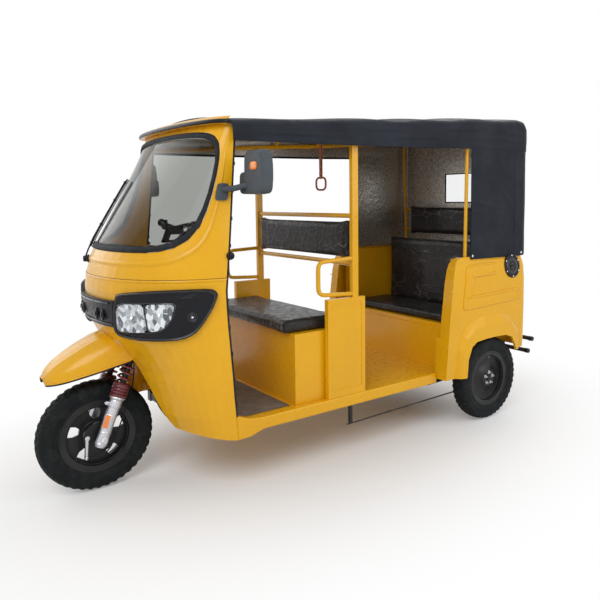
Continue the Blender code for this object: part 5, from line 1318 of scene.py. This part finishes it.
def canopy_cloth(inset, lift, creased):
    """Grid of the roof and both side curtains as one sheet, and its flat area."""
    ys = list(np.linspace(CANOPY_FRONT_Y + lift * 0.4, CURTAIN_Y, 84))
    ys += list(np.linspace(CURTAIN_Y, 2.455, 76 if creased else 32))[1:]
    ys += list(np.linspace(2.455, CANOPY_REAR_Y, 9))[1:]
    ys = [y for y in ys if y <= CANOPY_REAR_Y - inset]
    verts, kinds, plain = [], [], []
    for y in ys:
        left = canopy_half(y, inset, lift, creased)
        row = [(1, *p) for p in left] + [(-1, -p[0], *p[1:]) for p in reversed(left[:-1])]
        for side, x, z, nx, nz, low in row:
            d = canopy_move(side, y, z, abs(x), nz, low, creased)
            plain.append(Vector((x, y, z)))
            verts.append((x + side * nx * d, y, z + nz * d))
            kinds.append(low)
    count = len(row)
    faces, area = [], 0.0
    for i in range(len(ys) - 1):
        for j in range(count - 1):
            a = i * count + j
            f = (a, a + 1, a + count + 1, a + count)
            if ys[i] < CURTAIN_Y - 1e-6 and (kinds[a] or kinds[a + 1]):
                continue
            faces.append(f)
            p = [plain[k] for k in f]
            area += 0.5 * ((p[2] - p[0]).cross(p[3] - p[1])).length
    shape = Shape().add(verts, faces)
    width = sum((plain[k + 1] - plain[k]).length for k in range((len(ys) - 12) * count,
                                                                (len(ys) - 12) * count + count - 1))
    return shape, area, width, ys[-1] - ys[0]


def rear_cloth(y, inset, creased):
    """Grid of the rear curtain with its window left open, and its area."""
    half, top, _ = canopy_at(2.4916)
    half, top, r = half - inset, top - inset, CANOPY_CORNER_R - inset
    xs = list(np.linspace(-half, -0.15, 16)) + list(np.linspace(-0.15, 0.15, 10))[1:]
    xs += list(np.linspace(0.15, half, 16))[1:]
    rows = []
    for x in xs:
        if abs(x) < half - r:
            high = top + CANOPY_CROWN * (1 - (x / (half - r)) ** 2)
        else:
            high = top - r + math.sqrt(max(r * r - (abs(x) - half + r) ** 2, 0.0))
        zs = list(np.linspace(CURTAIN_Z + 0.002, 1.33, 14)) + list(np.linspace(1.33, 1.54, 9))[1:]
        zs += list(np.linspace(1.54, high, 12))[1:]
        rows.append([(x, z) for z in zs])
    verts, faces, area = [], [], 0.0
    count = len(rows[0])
    for row in rows:
        for x, z in row:
            d = 0.0
            if creased:
                hold = min(1.0, 8 * abs(abs(x) - half) + 0.1)
                d = 0.003 * abs(noise.noise(Vector((x * 3, z * 4, 9.0)))) * hold
                d += 0.0022 * math.exp(-((z - 1.16 - 0.12 * x) / 0.012) ** 2) * hold
                d += 0.0022 * math.exp(-((z - 1.64 + 0.10 * x) / 0.010) ** 2) * hold
            verts.append((x, y + d, z))
    for i in range(len(rows) - 1):
        for j in range(count - 1):
            a = i * count + j
            if abs(xs[i] + xs[i + 1]) < 0.30 and 1.33 < (rows[i][j][1] + rows[i][j + 1][1]) / 2 < 1.54:
                continue
            faces.append((a, a + 1, a + count + 1, a + count))
            area += (xs[i + 1] - xs[i]) * (rows[i][j + 1][1] - rows[i][j][1])
    return Shape().add(verts, faces), area, 2 * half, top + CANOPY_CROWN - CURTAIN_Z


def build_canopy():
    binding, eyes = Shape(), Shape()
    for s in (1, -1):
        edge = []
        for y in np.linspace(CANOPY_FRONT_Y, CURTAIN_Y, 90):
            half, _, low = canopy_at(y)
            edge.append((s * (half + canopy_move(s, y, low, half, 0.0, False)), y, low))
        binding.tube(edge, 0.0030, 8)
        half, _, low = canopy_at(CURTAIN_Y)
        down = [(s * (half - 0.0035 + canopy_move(s, CURTAIN_Y, z, half, 0.0, True)), CURTAIN_Y, z)
                for z in np.linspace(low, CURTAIN_Z, 44)]
        binding.tube(down, 0.0032, 8)
        under = []
        for y in np.linspace(CURTAIN_Y, 2.470, 40):
            half = canopy_at(y)[0]
            under.append((s * (half - 0.0035 + canopy_move(s, y, CURTAIN_Z, half, 0.0, True)), y,
                          CURTAIN_Z))
        binding.tube(under, 0.0032, 8)
        for y in (1.978, 2.442):
            half = canopy_at(y)[0]
            x = half - 0.0035 + canopy_move(s, y, 1.014, half, 0.0, True)
            rivet(eyes, (s * (x - 0.0004), y, 1.014), (s, 0, 0), 0.0062)
    front = canopy_half(CANOPY_FRONT_Y, 0.0, 0.0)[25:]
    ring = [(x, CANOPY_FRONT_Y + 0.0005, z) for x, z, *_ in front]
    ring += [(-x, y, z) for x, y, z in reversed(ring[:-1])]
    binding.tube(ring, 0.0032, 8)
    hem = binding.piece("canopy_binding", CANVAS, 60)
    snaps = eyes.piece("canopy_snaps", SILVER)

    shape, area, width, length = canopy_cloth(0.0, 0.0, True)
    roof = shape.piece("canopy_cloth", CANVAS, 75, replaces=("canopy",))
    shape, area, width, length = canopy_cloth(0.0055, 0.012, False)
    lining = shape.piece("foil_lining", FOIL, 75)

    shape, area, width, length = rear_cloth(2.4885, 0.0068, True)
    rear = shape.piece("rear_curtain_cloth", CANVAS, 75, replaces=("rear_curtain",))
    border = Shape()
    ring = [(-0.150, 1.330), (0.150, 1.330), (0.150, 1.540), (-0.150, 1.540)]
    for (x0, z0), (x1, z1) in zip(ring, ring[1:] + ring[:1]):
        border.block(((x0 + x1) / 2, 2.4886, (z0 + z1) / 2),
                     (abs(x1 - x0) + 0.016, 0.006, abs(z1 - z0) + 0.016), 0.0025)
    border = border.piece("rear_window_border", CANVAS)
    shape, area, width, length = rear_cloth(2.4842, 0.0120, False)
    back = shape.piece("foil_rear_lining", FOIL, 75)
    film = []
    for x in np.linspace(-0.158, 0.158, 26):
        film.append([(x, 2.4862 + 0.0012 * noise.noise(Vector((x * 9, z * 9, 2))), z)
                     for z in np.linspace(1.322, 1.548, 20)])
    pane = Shape().rows(film).piece("rear_window_film", FILM, 75)


def build_mat():
    rows = []
    for x in np.linspace(-0.440, 0.440, 70):
        rows.append([(x, y, 0.3318 + 0.0016 * abs(noise.noise(Vector((x * 6, y * 6, 4)))))
                     for y in np.linspace(0.430, 0.786, 34)])
    mat = Shape().rows(rows).piece("floor_mat", MAT, 75)


# Cushions

CUSHIONS = (
    # name, CAD node, limits in x, y and z, inset before swelling, most that it swells, thin axis
    ("driver_seat_pad", "driver_cushion", (-0.465, 0.465), (0.735, 1.122), (0.6886, 0.755),
     (0.008, 0.008, 0.0075), 0.016, "z"),
    ("driver_back_pad", "driver_backrest_pad", (-0.465, 0.465), (1.128, 1.170), (1.028, 1.249),
     (0.006, 0.0075, 0.006), 0.014, "y"),
    ("bench_pad", "passenger_cushion", (-0.465, 0.465), (1.845, 2.200), (0.6056, 0.660),
     (0.008, 0.008, 0.0070), 0.016, "z"),
    ("bench_back_pad", "passenger_backrest", (-0.465, 0.465), (2.205, 2.262), (0.606, 1.105),
     (0.008, 0.0080, 0.008), 0.018, "y"),
    ("rear_shelf_pad", "rear_pad", (-0.440, 0.440), (2.390, 2.4305), (1.090, 1.317),
     (0.006, 0.0070, 0.006), 0.014, "y"),
)


def smooth_limit(value, low, high, soft):
    """Value kept between low and high, eased over the last stretch."""
    mid, reach = (low + high) / 2, (high - low) / 2
    d = value - mid
    knee = reach - soft
    if abs(d) <= knee:
        return value
    over = abs(d) - knee
    return mid + math.copysign(knee + soft * math.tanh(over / soft), d)


def swell(ob, cap):
    """Runs the cloth solver under pressure and returns the capped places of the points."""
    mod = ob.modifiers.new("cloth", "CLOTH")
    mod.settings.quality = 4
    mod.settings.use_pressure = True
    mod.settings.uniform_pressure_force = 4.0
    mod.settings.effector_weights.gravity = 0.0
    mod.settings.tension_stiffness = 12.0
    mod.settings.compression_stiffness = 12.0
    mod.point_cache.frame_start = 1
    mod.point_cache.frame_end = 20
    scene = bpy.context.scene
    for frame_number in range(1, 21):
        scene.frame_set(frame_number)
    graph = bpy.context.evaluated_depsgraph_get()
    mesh = ob.evaluated_get(graph).to_mesh()
    after = np.empty(len(mesh.vertices) * 3)
    mesh.vertices.foreach_get("co", after)
    before = np.empty(len(ob.data.vertices) * 3)
    ob.data.vertices.foreach_get("co", before)
    ob.modifiers.remove(mod)
    scene.frame_set(1)
    before, after = before.reshape(-1, 3), after.reshape(-1, 3)
    move = after - before
    size = np.linalg.norm(move, axis=1, keepdims=True) + 1e-9
    return before + move / size * cap * np.tanh(size / cap)


def cushion(name, node, xs, ys, zs, inset, cap, face):
    """Swollen pad kept within its solid's limits, with piping round its face."""
    size = Vector((xs[1] - xs[0], ys[1] - ys[0], zs[1] - zs[0]))
    mid = Vector(((xs[0] + xs[1]) / 2, (ys[0] + ys[1]) / 2, (zs[0] + zs[1]) / 2))
    start = [size[k] - 2 * inset[k] for k in range(3)]
    core = Shape().block(mid, start, min(start) * 0.30, None, 3)
    ob = core.piece(name, VINYL, 75, replaces=(node,))
    remesh = ob.modifiers.new("even", "REMESH")
    remesh.mode = "VOXEL"
    remesh.voxel_size = 0.0085
    graph = bpy.context.evaluated_depsgraph_get()
    even = bpy.data.meshes.new_from_object(ob.evaluated_get(graph))
    ob.modifiers.clear()
    ob.data = even
    if not even.materials:
        even.materials.append(VINYL)
    places = swell(ob, cap)
    thin = 2 if face == "z" else 1
    across = 1 if face == "z" else 2
    half_x, half_a = size.x / 2, size[across] / 2
    lows = [xs[0], ys[0] + AXLE_Y, zs[0]]
    highs = [xs[1], ys[1] + AXLE_Y, zs[1]]
    out = []
    for p in places:
        q = [float(v) for v in p]
        u = (q[0] - mid.x) / half_x
        v = (q[across] - (mid[across] + (AXLE_Y if across == 1 else 0))) / half_a
        q[0] -= u ** 5 * 0.006 * max(0.0, 1 - v * v)
        q[across] -= v ** 5 * 0.007 * max(0.0, 1 - u ** 4)
        wrinkle = noise.noise(Vector((q[0] * 9, q[1] * 16, q[2] * 16)))
        middle = mid[thin] + (AXLE_Y if thin == 1 else 0)
        q[thin] += 0.0016 * wrinkle * (1 if q[thin] > middle else -1)
        out.append([smooth_limit(q[k], lows[k] + 0.0004, highs[k] - 0.0004, 0.004)
                    for k in range(3)])
    even.vertices.foreach_set("co", np.array(out).ravel())
    even.update()
    even.shade_smooth()
    sub = ob.modifiers.new("smooth", "SUBSURF")
    sub.levels = 1
    sub.render_levels = 1
    tree = BVHTree.FromPolygons([v.co.copy() for v in even.vertices],
                                [tuple(p.vertices) for p in even.polygons])
    piping = Shape()
    for level in ((0.86, -0.86) if face == "y" else (0.80,)):
        ring = []
        for c, d in rounded(160, 0.12, 0.20):
            p = [mid.x + half_x * c, 0.0, 0.0]
            p[across] = mid[across] + half_a * d
            p[thin] = mid[thin] + size[thin] / 2 * level * 0.85
            spot = tree.find_nearest(Vector((p[0], p[1] + AXLE_Y, p[2])))[0]
            ring.append(spot - Vector((0, AXLE_Y, 0)))
        smooth = [(ring[k - 1] + ring[k] * 2 + ring[(k + 1) % 160]) / 4 for k in range(160)]
        piping.tube(smooth, 0.0026, 6, loop=True)
    piping.piece(name + "_piping", VINYL, 60)


def main():
    add_camera()
    add_lights()
    add_stage()
    dress_nodes()
    build_cables()
    build_wheels()
    build_fork()
    build_cab()
    build_windshield()
    build_lamps()
    build_mudguard()
    build_mirrors()
    build_wiper()
    build_service_cap()
    build_panels()
    build_caps()
    build_tail_lamps()
    build_strap()
    build_canopy()
    build_mat()
    for row in CUSHIONS:
        cushion(*row)


main()
